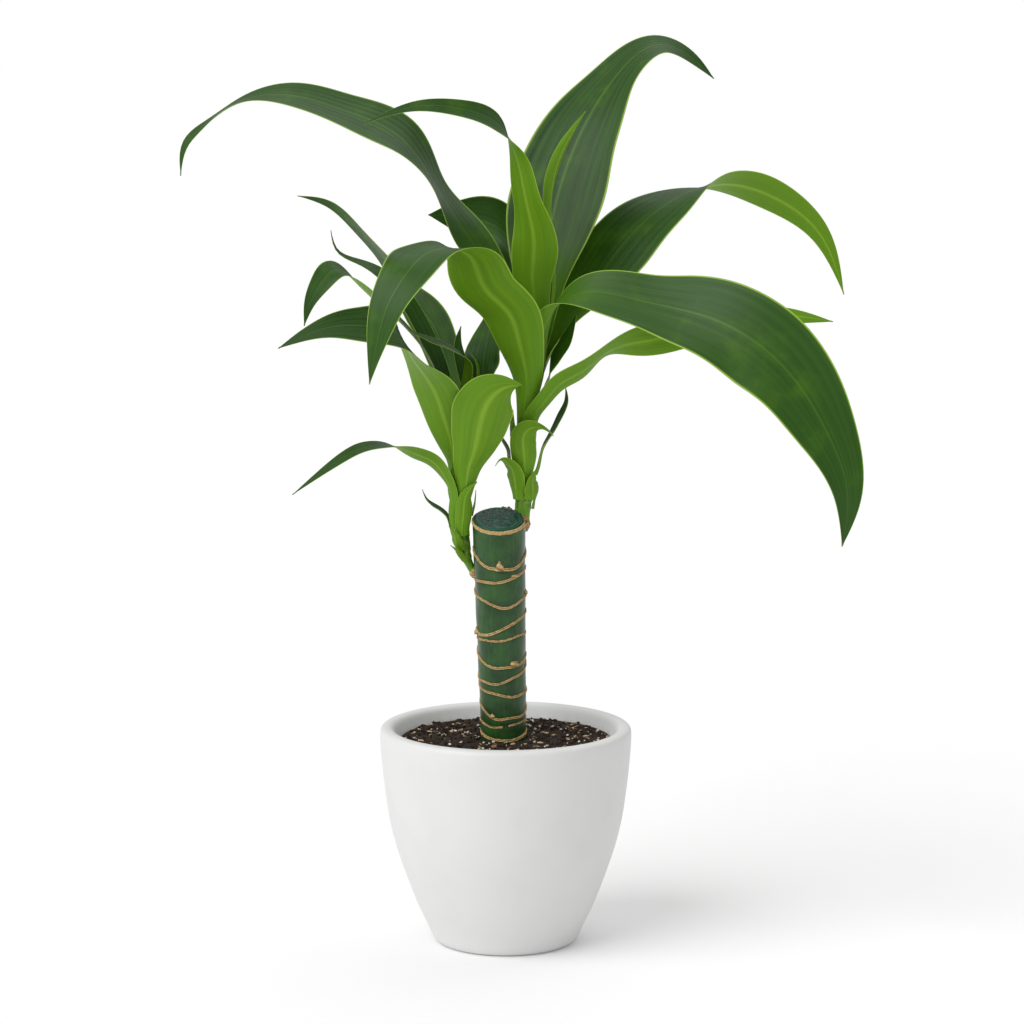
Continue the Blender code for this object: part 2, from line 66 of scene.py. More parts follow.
class Value:
    """A number, colour or vector that varies over a surface."""

    def __init__(self, bench: "Bench", socket: bpy.types.NodeSocket) -> None:
        """Wrap an output socket of the bench's node tree."""
        self.bench = bench
        self.socket = socket

    def math(self, operation: str, *terms: "Value | float") -> "Value":
        """Add a Math node.

        Args:
            operation: Name of the Math operation.
            terms: Values or numbers for its inputs, in order.

        Returns:
            The node's result.
        """
        return self.bench.node("ShaderNodeMath", {"operation": operation},
                               dict(enumerate(terms)))

    def __add__(self, other: "Value | float") -> "Value":
        """Sum."""
        return self.math("ADD", self, other)

    def __radd__(self, other: float) -> "Value":
        """Sum with a number on the left."""
        return self.math("ADD", other, self)

    def __sub__(self, other: "Value | float") -> "Value":
        """Difference."""
        return self.math("SUBTRACT", self, other)

    def __rsub__(self, other: float) -> "Value":
        """Difference from a number."""
        return self.math("SUBTRACT", other, self)

    def __mul__(self, other: "Value | float") -> "Value":
        """Product."""
        return self.math("MULTIPLY", self, other)

    def __rmul__(self, other: float) -> "Value":
        """Product with a number on the left."""
        return self.math("MULTIPLY", other, self)

    def __abs__(self) -> "Value":
        """Distance from zero."""
        return self.math("ABSOLUTE", self)

    def most(self, other: "Value | float") -> "Value":
        """The larger of two values."""
        return self.math("MAXIMUM", self, other)

    def step(self, low: float, high: float) -> "Value":
        """Smooth step.

        Args:
            low: Where the result is 0.
            high: Where it is 1; below low it falls instead of rising.

        Returns:
            A mask from 0 to 1.
        """
        return self.bench.node("ShaderNodeMapRange", {"interpolation_type": 'SMOOTHSTEP'},
                               {0: self, 1: low, 2: high, 3: 0.0, 4: 1.0})


class Bench:
    """Node tree of one material, with one method that adds any node."""

    def __init__(self, name: str) -> None:
        """Start an empty material.

        Args:
            name: Name of the material.
        """
        self.material = bpy.data.materials.new(name)
        self.material.use_nodes = True
        self.tree = self.material.node_tree
        self.tree.nodes.clear()

    def node(self, kind: str, settings: dict | None = None, inputs: dict | None = None,
             output: int = 0) -> Value:
        """Add a node.

        Args:
            kind: Blender's type name of the node.
            settings: Properties to set first.
            inputs: Values or links by socket number or name.
            output: Number of the output socket to return.

        Returns:
            The chosen output.
        """
        made = self.tree.nodes.new(kind)
        for key, setting in (settings or {}).items():
            setattr(made, key, setting)
        for key, content in (inputs or {}).items():
            if isinstance(content, Value):
                self.tree.links.new(content.socket, made.inputs[key])
            else:
                made.inputs[key].default_value = content
        return Value(self, made.outputs[output])

    def mix(self, first: "Value | Colour", second: "Value | Colour",
            amount: "Value | float") -> Value:
        """Blend two colours.

        Args:
            first: Colour where the amount is 0.
            second: Colour where the amount is 1.
            amount: Share of the second colour.

        Returns:
            The blended colour.
        """
        pair = [c if isinstance(c, Value) else (*c, 1.0) for c in (first, second)]
        return self.node("ShaderNodeMix", {"data_type": 'RGBA'},
                         {0: amount, 6: pair[0], 7: pair[1]}, output=2)

    def mark(self, name: str) -> Value:
        """Number stored on the mesh points under a name."""
        return self.node("ShaderNodeAttribute", {"attribute_name": name}, output=2)

    def place(self, stretch: Colour = (1.0, 1.0, 1.0)) -> Value:
        """Position on the piece in metres.

        Args:
            stretch: Factor along each axis.

        Returns:
            The stretched position.
        """
        spot = self.node("ShaderNodeTexCoord", output=3)
        return self.node("ShaderNodeVectorMath", {"operation": 'MULTIPLY'},
                         {0: spot, 1: stretch})

    def noise(self, grain: float, detail: float = 3.0, at: Value | None = None,
              rough: float = 0.55) -> Value:
        """Cloudy pattern.

        Args:
            grain: Size of a cloud in millimetres, or in the units of the given place.
            detail: Number of finer layers.
            at: Place to read it at, or None for the position on the piece.
            rough: Strength of the finer layers.

        Returns:
            A number round 0.5.
        """
        scale = 1.0 / grain if at else 1.0 / (grain * MM)
        return self.node("ShaderNodeTexNoise", {},
                         {"Vector": at or self.place(), "Scale": scale, "Detail": detail,
                          "Roughness": rough})

    def specks(self, spacing: float, radius: float, share: float) -> Value:
        """Sparse round specks.

        Args:
            spacing: Mean distance between them in millimetres.
            radius: Radius of a speck in millimetres.
            share: Share of the places that hold one.

        Returns:
            A mask that is 1 on a speck.
        """
        cells = {"Vector": self.place(), "Scale": 1.0 / (spacing * MM)}
        near = self.node("ShaderNodeTexVoronoi", {}, cells)
        kind = self.node("ShaderNodeTexVoronoi", {}, cells, output=1)
        pick = self.node("ShaderNodeSeparateColor", {}, {0: kind})
        edge = radius / spacing
        return near.step(edge, 0.6 * edge) * pick.step(1.0 - share, 1.0 - 0.98 * share)

    def finish(self, colour: "Value | Colour", roughness: "Value | float",
               height: Value | None = None, depth: float = 0.1,
               **constants: float) -> bpy.types.Material:
        """Close the tree with a Principled shader.

        Args:
            colour: Base colour.
            roughness: Roughness.
            height: Relief from 0 to 1, or None for a smooth surface.
            depth: Depth of the relief in millimetres.
            constants: Other shader inputs, with _ for a space in the name.

        Returns:
            The finished material.
        """
        inputs = {"Base Color": colour if isinstance(colour, Value) else (*colour, 1.0),
                  "Roughness": roughness}
        for key, content in constants.items():
            inputs[key.replace("_", " ")] = content
        if height is not None:
            inputs["Normal"] = self.node("ShaderNodeBump", {},
                                         {"Strength": 1.0, "Distance": depth * MM,
                                          "Height": height})
        shader = self.node("ShaderNodeBsdfPrincipled", {}, inputs)
        end = self.tree.nodes.new("ShaderNodeOutputMaterial")
        self.tree.links.new(shader.socket, end.inputs[0])
        return self.material


# ------------------------------------------------------------------ finishes

@dataclass(frozen=True)
class LeafSkin:
    """Living blade: dark glossy upper face, bright lower face, pale thin margin."""

    upper_dark: Colour = (0.009, 0.042, 0.003)
    upper_light: Colour = (0.027, 0.088, 0.005)
    stripe: Colour = (0.070, 0.165, 0.015)
    lower_dark: Colour = (0.100, 0.235, 0.004)
    lower_light: Colour = (0.150, 0.305, 0.004)
    rib: Colour = (0.250, 0.430, 0.030)
    margin: Colour = (0.330, 0.500, 0.060)
    base: Colour = (0.120, 0.290, 0.006)
    dry: Colour = (0.340, 0.230, 0.080)
    speck: Colour = (0.450, 0.520, 0.300)

    def material(self) -> bpy.types.Material:
        """Build the material.

        Returns:
            The leaf material, which reads the marks lower, tone, across and along.
        """
        b = Bench("leaf_skin")
        lower = b.mark("lower")
        tone = b.mark("tone")
        side = b.mark("across")
        along = b.mark("along")
        off = abs(side)
        lanes = b.node("ShaderNodeCombineXYZ", {}, {0: side * 9.0 + tone * 40.0,
                                                    1: along * 1.3, 2: lower * 7.0})
        threads = b.node("ShaderNodeCombineXYZ", {}, {0: side * 46.0 + tone * 40.0,
                                                      1: along * 1.5, 2: lower * 5.0})
        broad = b.noise(1.0, 2.0, at=lanes)
        thin = b.noise(1.0, 1.0, at=threads)
        cloud = b.noise(26.0, 3.0)
        upper = b.mix(self.upper_dark, self.upper_light, broad.step(0.30, 0.72))
        upper = b.mix(upper, self.stripe, thin.step(0.55, 0.78) * broad.step(0.40, 0.75) * 0.55)
        upper = b.mix(upper, self.upper_light, tone * 0.55)
        groove = off.step(0.055, 0.0)
        upper = b.mix(upper, self.stripe, groove * 0.5)
        under = b.mix(self.lower_dark, self.lower_light,
                      broad.step(0.30, 0.75) * 0.6 + thin.step(0.4, 0.7) * 0.25)
        under = b.mix(under, self.rib, off.step(0.16, 0.01) * 0.65)
        colour = b.mix(upper, under, lower)
        colour = b.mix(colour, self.lower_dark, cloud.step(0.50, 0.80) * 0.25)
        colour = b.mix(colour, self.base, along.step(0.34, 0.02) * 0.75)
        colour = b.mix(colour, self.speck, b.specks(17.0, 0.45, 0.35) * (1.0 - lower) * 0.7)
        edge = off.step(0.945, 0.985)
        colour = b.mix(colour, self.margin, edge * 0.8)
        tip = along.step(0.988, 1.0) * cloud.step(0.42, 0.55)
        colour = b.mix(colour, self.dry, tip * 0.8)
        roughness = 0.33 + 0.15 * lower + 0.14 * broad - 0.10 * groove + 0.10 * edge
        pores = b.noise(0.7, 2.0)
        height = thin * 0.7 + pores * 0.3
        return b.finish(colour, roughness, height, 0.16, Specular_IOR_Level=0.24)


@dataclass(frozen=True)
class StemSkin:
    """Young shoot wrapped in old sheath bases."""

    fresh: Colour = (0.125, 0.300, 0.008)
    ripe: Colour = (0.045, 0.150, 0.008)
    line: Colour = (0.330, 0.330, 0.070)

    def material(self) -> bpy.types.Material:
        """Build the material, which reads the mark edge."""
        b = Bench("stem_skin")
        streaks = b.noise(1.4, 3.0, at=b.place((1 / MM, 1 / MM, 0.08 / MM)))
        colour = b.mix(self.ripe, self.fresh, streaks.step(0.25, 0.62))
        colour = b.mix(colour, self.line, b.mark("edge") * 0.8)
        return b.finish(colour, 0.36 + 0.18 * streaks, streaks, 0.12, Specular_IOR_Level=0.3)


@dataclass(frozen=True)
class CaneBark:
    """Smooth green bark with paler streaks, small pale pits and painted shade beside the leaf scars.
    """

    deep: Colour = (0.007, 0.040, 0.006)
    green: Colour = (0.020, 0.082, 0.012)
    pale: Colour = (0.070, 0.150, 0.035)
    pit: Colour = (0.300, 0.330, 0.160)

    def material(self) -> bpy.types.Material:
        """Build the material, which reads the mark near, 1 beside a leaf scar, where it paints shade
        on the bark.
        """
        b = Bench("cane_green")
        streaks = b.noise(2.2, 4.0, at=b.place((1 / MM, 1 / MM, 0.12 / MM)))
        cloud = b.noise(11.0, 4.0)
        colour = b.mix(self.deep, self.green, cloud.step(0.30, 0.68))
        colour = b.mix(colour, self.pale, streaks.step(0.50, 0.80) * 0.35)
        # painted shade: the bark is darkened where it meets the raised leaf scars
        colour = b.mix(colour, self.deep, b.mark("near") * 0.55)
        pits = b.specks(7.0, 0.42, 0.30)
        colour = b.mix(colour, self.pit, pits * 0.7)
        roughness = 0.24 + 0.20 * cloud + 0.2 * pits
        return b.finish(colour, roughness, streaks * 0.6 + pits * 0.4, 0.14,
                        Specular_IOR_Level=0.35, Coat_Weight=0.10, Coat_Roughness=0.15)


@dataclass(frozen=True)
class Cork:
    """Dry tissue of the leaf scars, the buds and the callus."""

    pale: Colour = (0.620, 0.430, 0.190)
    warm: Colour = (0.400, 0.225, 0.075)
    dark: Colour = (0.090, 0.038, 0.013)
    green: Colour = (0.230, 0.270, 0.050)

    def material(self) -> bpy.types.Material:
        """Build the material, which reads the mark groove: painted shade in the creases of the scars
        and the cut's rim, dark bands on the buds and burnt patches on the callus and its crust.
        """
        b = Bench("cork")
        fine = b.noise(0.9, 4.0)
        broad = b.noise(5.0, 2.0)
        colour = b.mix(self.pale, self.warm, fine.step(0.42, 0.66))
        colour = b.mix(colour, self.green, broad.step(0.56, 0.70) * 0.5)
        # painted shade in the creases of the scars and the rim, and dark patches of the tissue on the
        # buds and callus
        colour = b.mix(colour, self.dark, (b.mark("groove") * 0.85).most(fine.step(0.62, 0.78) * 0.8))
        return b.finish(colour, 0.62 + 0.3 * fine, fine, 0.35)


@dataclass(frozen=True)
class SealingWax:
    """Dark green wax that seals the cut, satin and pitted."""

    deep: Colour = (0.004, 0.028, 0.018)
    green: Colour = (0.012, 0.080, 0.046)
    worn: Colour = (0.050, 0.160, 0.105)

    def material(self) -> bpy.types.Material:
        """Build the material, which reads the mark dent, 1 at the bottom of a dimple, where it paints
        shade.
        """
        b = Bench("sealing_wax")
        cloud = b.noise(3.0, 4.0)
        pores = b.noise(0.5, 2.0)
        dent = b.mark("dent")
        # painted shade: the wax is darkened towards the bottom of each dimple
        colour = b.mix(self.green, self.deep, dent.step(0.05, 0.7))
        colour = b.mix(colour, self.worn, cloud.step(0.58, 0.78) * (1.0 - dent) * 0.6)
        return b.finish(colour, 0.26 + 0.28 * cloud, pores, 0.16, Specular_IOR_Level=0.30)


@dataclass(frozen=True)
class Peat:
    """Loose dark potting soil."""

    wet: Colour = (0.010, 0.006, 0.004)
    dark: Colour = (0.030, 0.017, 0.010)
    dry: Colour = (0.105, 0.066, 0.040)

    def material(self) -> bpy.types.Material:
        """Build the material."""
        b = Bench("peat")
        clods = b.noise(3.4, 5.0, rough=0.7)
        grains = b.noise(0.6, 3.0, rough=0.7)
        colour = b.mix(self.wet, self.dark, clods.step(0.30, 0.60))
        colour = b.mix(colour, self.dry, grains.step(0.52, 0.74) * 0.8)
        return b.finish(colour, 0.78 + 0.2 * grains, grains * 0.6 + clods * 0.4, 0.9,
                        Specular_IOR_Level=0.3)


@dataclass(frozen=True)
class Perlite:
    """Puffed volcanic grains, cream white and chalky."""

    white: Colour = (0.780, 0.740, 0.640)
    stained: Colour = (0.430, 0.350, 0.230)

    def material(self) -> bpy.types.Material:
        """Build the material."""
        b = Bench("perlite")
        cloud = b.noise(1.6, 4.0)
        return b.finish(b.mix(self.white, self.stained, cloud.step(0.48, 0.72)),
                        0.7 + 0.25 * cloud, b.noise(0.4, 3.0), 0.3)


@dataclass(frozen=True)
class BarkChip:
    """Splinters of bark and coir, tan to red brown."""

    tan: Colour = (0.620, 0.480, 0.290)
    red: Colour = (0.270, 0.140, 0.065)

    def material(self) -> bpy.types.Material:
        """Build the material."""
        b = Bench("bark_chip")
        cloud = b.noise(4.5, 2.0)
        fibre = b.noise(0.5, 3.0, at=b.place((1 / MM, 0.2 / MM, 1 / MM)))
        colour = b.mix(self.tan, self.red, cloud.step(0.40, 0.62))
        colour = b.mix(colour, self.red, fibre.step(0.55, 0.75) * 0.7)
        return b.finish(colour, 0.65 + 0.3 * fibre, fibre, 0.3)


@dataclass(frozen=True)
class TubCeramic:
    """Matte white glaze with a faint tooth, fine pinholes and dust low on the inside."""

    white: Colour = (0.710, 0.710, 0.706)
    shade: Colour = (0.680, 0.680, 0.675)
    pinhole: Colour = (0.420, 0.410, 0.390)
    dust: Colour = (0.300, 0.240, 0.180)

    def material(self) -> bpy.types.Material:
        """Build the material, which reads the mark soiled, 1 at the soil line."""
        b = Bench("tub_ceramic")
        cloud = b.noise(34.0, 3.0)
        tooth = b.noise(0.8, 2.0)
        holes = b.specks(9.0, 0.22, 0.2)
        colour = b.mix(self.white, self.shade, cloud.step(0.45, 0.75) * 0.6)
        colour = b.mix(colour, self.pinhole, holes * 0.5)
        smudge = b.noise(5.0, 4.0)
        colour = b.mix(colour, self.dust, b.mark("soiled") * smudge.step(0.40, 0.66) * 0.25)
        return b.finish(colour, 0.40 + 0.14 * cloud + 0.1 * tooth, tooth * 0.7 + cloud * 0.3,
                        0.05, Coat_Weight=0.08, Coat_Roughness=0.3)


@dataclass(frozen=True)
class Paper:
    """Seamless pale studio floor."""

    white: Colour = (0.88, 0.88, 0.88)
    glow: float = 0.06

    def material(self) -> bpy.types.Material:
        """Build the material."""
        return Bench("studio_paper").finish(self.white, 0.9, Specular_IOR_Level=0.1,
                                            Emission_Color=(1.0, 1.0, 1.0, 1.0),
                                            Emission_Strength=self.glow)


# ------------------------------------------------------------------ mesh helpers

class Shape:
    """Points, faces and per-point marks of one piece, in millimetres."""

    def __init__(self) -> None:
        """Start an empty shape."""
        self.points: list[np.ndarray] = []
        self.faces: list[list[int]] = []
        self.marks: dict[str, list[np.ndarray]] = {}
        self.count = 0

    def add(self, points: np.ndarray, faces: list[list[int]], **marks: "np.ndarray | float") -> int:
        """Add points and faces.

        Args:
            points: Rows of x, y, z.
            faces: Point numbers within these points.
            marks: A number, or one number for each point, under each mark's name.

        Returns:
            The number of the first added point.
        """
        start = self.count
        for name in marks:
            self.marks.setdefault(name, [np.zeros(start)] if start else [])
        for name, kept in self.marks.items():
            kept.append(np.broadcast_to(marks.get(name, 0.0), len(points)).astype(float))
        self.points.append(np.asarray(points, float))
        self.faces += [[start + k for k in face] for face in faces]
        self.count += len(points)
        return start

    def grid(self, grid: np.ndarray, around: bool = False,
             **marks: "np.ndarray | float") -> np.ndarray:
        """Add a skin over rows and columns of points.

        Args:
            grid: Array of rows, columns and x, y, z.
            around: True if the last column joins the first.
            marks: Numbers under each mark's name, one for each row and column.

        Returns:
            The point numbers by row and column.
        """
        rows, columns = grid.shape[:2]
        flat = {name: np.broadcast_to(m, (rows, columns)).ravel() for name, m in marks.items()}
        local = np.arange(rows * columns).reshape(rows, columns)
        start = self.add(grid.reshape(-1, 3), strips(local, around), **flat)
        return local + start

    def close(self, ring: np.ndarray) -> None:
        """Close a ring of point numbers with one face."""
        self.faces.append([int(k) for k in ring])

    def join(self, first: np.ndarray, second: np.ndarray, around: bool = False) -> None:
        """Join two rows of point numbers with faces."""
        self.faces += strips(np.stack([first, second]), around)

    def piece(self, name: str, finish: bpy.types.Material,
              nodes: tuple[str, ...] = (), sharp: float = 50.0) -> bpy.types.Object:
        """Turn the shape into a piece of the model.

        Args:
            name: Name of the piece.
            finish: Its material.
            nodes: Solids of the frame that it stands for.
            sharp: Angle in degrees past which an edge looks sharp.

        Returns:
            The new object.
        """
        mesh = bpy.data.meshes.new(name)
        mesh.from_pydata((np.concatenate(self.points) * MM).tolist(), [], self.faces)
        for mark, kept in self.marks.items():
            layer = mesh.attributes.new(mark, 'FLOAT', 'POINT')
            layer.data.foreach_set("value", np.concatenate(kept))
        work = bmesh.new()
        work.from_mesh(mesh)
        bmesh.ops.recalc_face_normals(work, faces=work.faces)
        work.to_mesh(mesh)
        work.free()
        mesh.shade_smooth()
        mesh.set_sharp_from_angle(angle=math.radians(sharp))
        mesh.materials.append(finish)
        made = bpy.data.objects.new(name, mesh)
        bpy.context.scene.collection.objects.link(made)
        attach(made, "root")
        if nodes:
            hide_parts(*nodes)
        report(made, nodes)
        return made


def strips(rows: np.ndarray, around: bool) -> list[list[int]]:
    """Faces between neighbouring rows of point numbers.

    Args:
        rows: Point numbers by row and column.
        around: True if the last column joins the first.

    Returns:
        Four point numbers for each face.
    """
    if around:
        rows = np.concatenate([rows, rows[:, :1]], axis=1)
    corners = [rows[:-1, :-1], rows[:-1, 1:], rows[1:, 1:], rows[1:, :-1]]
    return np.stack(corners, -1).reshape(-1, 4).tolist()


def report(made: bpy.types.Object, nodes: tuple[str, ...]) -> None:
    """Log a piece's faces and how far it stands out of the solids it replaces.

    Args:
        made: The piece.
        nodes: Solids of the frame that it stands for.
    """
    proud = 0.0
    if nodes:
        boxes = [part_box(node) for node in nodes]
        low = np.min([b[0] for b in boxes], axis=0)
        high = np.max([b[1] for b in boxes], axis=0)
        spots = np.array([v.co for v in made.data.vertices])
        proud = max((low - spots.min(0)).max(), (spots.max(0) - high).max()) / MM
    LOG.info("%s: %d faces, %.1f mm past its solids", made.name, len(made.data.polygons), proud)


class Wobble:
    """Smooth random wave round a circle or along a length."""

    def __init__(self, seed: str, size: float, waves: range = range(2, 9)) -> None:
        """Draw the wave.

        Args:
            seed: Text that fixes the random draw.
            size: Typical height of the wave.
            waves: Numbers of whole waves in one turn.
        """
        draw = random.Random(seed)
        self.terms = [(n, draw.gauss(0.0, size) / math.sqrt(len(waves)),
                       draw.uniform(0.0, math.tau)) for n in waves]

    def __call__(self, turn: np.ndarray) -> np.ndarray:
        """Height of the wave at an angle in radians."""
        return sum(size * np.sin(n * turn + start) for n, size, start in self.terms)


def turns(count: int) -> np.ndarray:
    """Evenly spaced angles round a circle."""
    return np.linspace(0.0, math.tau, count, endpoint=False)


def ease(t: np.ndarray) -> np.ndarray:
    """Smooth step from 0 to 1."""
    t = np.clip(t, 0.0, 1.0)
    return t * t * (3.0 - 2.0 * t)


def spline(knots: np.ndarray, rows: np.ndarray, at: np.ndarray) -> np.ndarray:
    """Natural cubic spline.

    Args:
        knots: Distance at each row.
        rows: Values that the spline passes through.
        at: Distances to read.

    Returns:
        One row of values for each distance.
    """
    t = np.asarray(knots, float)
    v = np.asarray(rows, float).reshape(len(t), -1)
    h = np.diff(t)
    n = len(t)
    left = np.eye(n)
    right = np.zeros((n, v.shape[1]))
    for i in range(1, n - 1):
        left[i, i - 1:i + 2] = h[i - 1], 2.0 * (h[i - 1] + h[i]), h[i]
        right[i] = 6.0 * ((v[i + 1] - v[i]) / h[i] - (v[i] - v[i - 1]) / h[i - 1])
    bend = np.linalg.solve(left, right)
    at = np.asarray(at, float)
    i = np.clip(np.searchsorted(t, at, side='right') - 1, 0, n - 2)
    a = (t[i + 1] - at)[:, None]
    b = (at - t[i])[:, None]
    h = h[i][:, None]
    curve = (bend[i] * a ** 3 + bend[i + 1] * b ** 3) / (6.0 * h)
    return curve + (v[i] / h - bend[i] * h / 6.0) * a + (v[i + 1] / h - bend[i + 1] * h / 6.0) * b


def chord_lengths(points: np.ndarray) -> np.ndarray:
    """Distance run along a list of points."""
    return np.concatenate([[0.0], np.cumsum(np.linalg.norm(np.diff(points, axis=0), axis=1))])


# ------------------------------------------------------------------ tub and soil

@dataclass
class Tub:
    """Round tub: a turned wall with a soft rim, standing on a flat base."""

    width: float = 170.0    # across the rim in the outlines below
    sides: int = 160
    steps: int = 5          # outline points for each knot
    soil_line: float = 138.0
    inside: tuple[tuple[float, float], ...] = (
        (0.0, 9.0), (20.0, 9.0), (34.0, 9.2), (40.0, 12.0), (45.0, 22.0), (53.0, 42.0),
        (60.0, 63.0), (64.6, 83.0), (67.6, 103.0), (69.2, 119.0), (70.0, 130.0),
        (71.6, 137.0), (73.8, 142.5))
    lip: tuple[tuple[float, float], ...] = (
        (76.0, 146.4), (78.4, 147.8), (80.2, 148.0), (81.9, 147.8), (83.7, 147.0),
        (84.7, 145.6), (85.0, 143.5))
    outside: tuple[tuple[float, float], ...] = (
        (84.6, 132.0), (83.4, 118.0), (81.5, 102.0), (78.4, 82.0), (73.2, 62.0),
        (66.0, 41.0), (57.5, 20.0), (52.0, 8.5), (49.2, 2.8), (46.8, 0.6), (44.6, 0.0))

    def profile(self) -> np.ndarray:
        """Smooth outline from the middle of the floor over the rim to the base.

        Returns:
            Rows of radius and height.
        """
        knots = np.array(self.inside + self.lip + self.outside)
        run = chord_lengths(knots)
        at = np.interp(np.linspace(0, len(knots) - 1, self.steps * len(knots)), range(len(knots)), run)
        return spline(run, knots, at)

    def wall(self, height: float) -> float:
        """Inner radius at a height."""
        radii, heights = zip(*self.inside)
        return float(np.interp(height, heights, radii))

    def build(self) -> None:
        """Build the tub."""
        low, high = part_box("tub")
        grow = (high.x - low.x) / MM / self.width
        outline = self.profile() * grow
        outline[:, 1] = np.clip(outline[:, 1], 0.0, None)
        turn = turns(self.sides)
        sway = 1.0 + Wobble("tub", 0.0006, range(2, 5))(turn)
        radius = outline[1:, :1] * sway
        height = np.broadcast_to(outline[1:, 1:], radius.shape)
        spots = np.stack([radius * np.cos(turn), radius * np.sin(turn), height], -1)
        inner = np.arange(len(spots)) < self.steps * len(self.inside)
        soiled = np.where(inner, np.exp(-np.abs(spots[:, 0, 2] - self.soil_line) / 2.5), 0.0)
        shape = Shape()
        rows = shape.grid(spots, around=True, soiled=soiled[:, None])
        shape.close(rows[0])
        shape.close(rows[-1])
        shape.piece("tub_shell", TubCeramic().material(), ("tub",))


class Grain(Enum):
    """Kinds of loose grain on the soil."""

    CRUMB = "soil_crumbs"
    PERLITE = "perlite_grains"
    BARK = "bark_chips"
    FIBRE = "coir_fibres"


@dataclass
class SoilBed:
    """Soil surface with clods, and the loose grains that lie on it."""

    tub: Tub
    sides: int = 200
    rings: int = 84
    crown: float = 139.2
    edge_drop: float = 1.0
    socket_radius: float = 16.4
    socket_depth: float = 9.0
    deep: float = 120.0
    lumps: int = 1500
    amounts: dict[Grain, int] = field(default_factory=lambda: {
        Grain.CRUMB: 1200, Grain.PERLITE: 120, Grain.BARK: 170, Grain.FIBRE: 36})

    def __post_init__(self) -> None:
        """Draw the clods of the surface."""
        draw = np.random.default_rng(11)
        reach = 70.0 * np.sqrt(draw.random(self.lumps))
        turn = draw.random(self.lumps) * math.tau
        self.spots = np.stack([reach * np.cos(turn), reach * np.sin(turn)], -1)
        self.spreads = draw.uniform(0.8, 3.6, self.lumps)
        self.heights = draw.uniform(-0.5, 1.0, self.lumps) * self.spreads * 0.42

    def surface(self, spots: np.ndarray) -> np.ndarray:
        """Height of the soil.

        Args:
            spots: Rows of x and y.

        Returns:
            One height for each row.
        """
        reach = np.linalg.norm(spots, axis=1)
        height = self.crown - self.edge_drop * ease((reach - 30.0) / 40.0)
        for part in np.array_split(np.arange(len(spots)), max(1, len(spots) // 4000)):
            near = ((spots[part, None] - self.spots) ** 2).sum(-1) / self.spreads ** 2
            height[part] += (self.heights * np.exp(-near)).sum(1)
        return height

    def build(self) -> None:
        """Build the bed and scatter the grains."""
        turn = turns(self.sides)
        centre = np.array([Cane().axis(self.crown)[0], 0.0])
        wall = self.tub.wall(self.crown - self.edge_drop) - 0.5
        share = np.linspace(0.0, 1.0, self.rings)[:, None]
        reach = self.socket_radius + (wall - self.socket_radius) * share
        middle = centre * (1.0 - share)
        spots = np.stack([middle[:, :1] + reach * np.cos(turn),
                          middle[:, 1:] + reach * np.sin(turn)], -1)
        height = self.surface(spots.reshape(-1, 2)).reshape(spots.shape[:2])
        top = np.concatenate([spots, height[..., None]], -1)
        socket = top[0].copy()
        socket[:, 2] = self.crown - self.socket_depth
        side = top[-1].copy()
        side[:, 2] = self.deep
        side[:, :2] *= (self.tub.wall(self.deep) - 0.5) / wall
        shape = Shape()
        rows = shape.grid(np.concatenate([socket[None], top, side[None]]), around=True)
        shape.close(rows[0])
        shape.close(rows[-1])
        shape.piece("soil_bed", Peat().material(), ("soil",), sharp=180.0)
        finishes = {Grain.CRUMB: Peat().material(), Grain.PERLITE: Perlite().material(),
                    Grain.BARK: BarkChip().material()}
        finishes[Grain.FIBRE] = finishes[Grain.BARK]
        for kind, amount in self.amounts.items():
            self.scatter(kind, amount, finishes[kind])

    def scatter(self, kind: Grain, amount: int, finish: bpy.types.Material) -> None:
        """Scatter grains of one kind over the bed.

        Args:
            kind: The kind of grain.
            amount: Number of grains.
            finish: Their material.
        """
        draw = np.random.default_rng(len(kind.value) * 7)
        ball_points, ball_faces = ball()
        inner, outer = self.socket_radius + 1.5, self.tub.wall(self.crown) - 2.6
        reach = np.sqrt(draw.uniform(inner ** 2, outer ** 2, amount))
        turn = draw.random(amount) * math.tau
        spots = np.stack([reach * np.cos(turn), reach * np.sin(turn)], -1)
        heights = self.surface(spots)
        shape = Shape()
        for (x, y), z in zip(spots, heights):
            radii = self.radii(kind, draw)
            rough = 0.30 if kind is not Grain.FIBRE else 0.05
            bumps = 1.0 + rough * draw.normal(size=len(ball_points)).clip(-1.3, 1.3)
            points = ball_points * radii * bumps[:, None]
            if kind is Grain.FIBRE:
                points[:, 1] += 0.10 * points[:, 0] ** 2 * draw.uniform(-1.0, 1.0)
            points = points @ tumbled(draw, 0.35 if kind in (Grain.BARK, Grain.FIBRE) else 1.2).T
            lift = 0.25 * radii[2]
            shape.add(points + [x, y, z + lift], ball_faces)
        shape.piece(kind.value, finish, sharp=35.0)

    @staticmethod
    def radii(kind: Grain, draw: np.random.Generator) -> np.ndarray:
        """Half sizes of one grain.

        Args:
            kind: The kind of grain.
            draw: Source of chance.

        Returns:
            Half length, half width and half thickness.
        """
        size = draw.uniform(0.0, 1.0) ** 2
        if kind is Grain.CRUMB:
            return np.array([1.0, 0.8, 0.7]) * (0.45 + 1.25 * size)
        if kind is Grain.PERLITE:
            return np.array([1.0, 0.85, 0.7]) * (0.5 + 0.8 * size)
        if kind is Grain.BARK:
            return np.array([1.0, 0.55, 0.28]) * (0.9 + 2.1 * size)
        return np.array([2.6 + 3.0 * size, 0.22, 0.22])


def ball() -> tuple[np.ndarray, list[list[int]]]:
    """Points and faces of a small round body of unit radius."""
    work = bmesh.new()
    bmesh.ops.create_icosphere(work, subdivisions=2, radius=1.0)
    points = np.array([v.co for v in work.verts])
    faces = [[v.index for v in f.verts] for f in work.faces]
    work.free()
    return points, faces


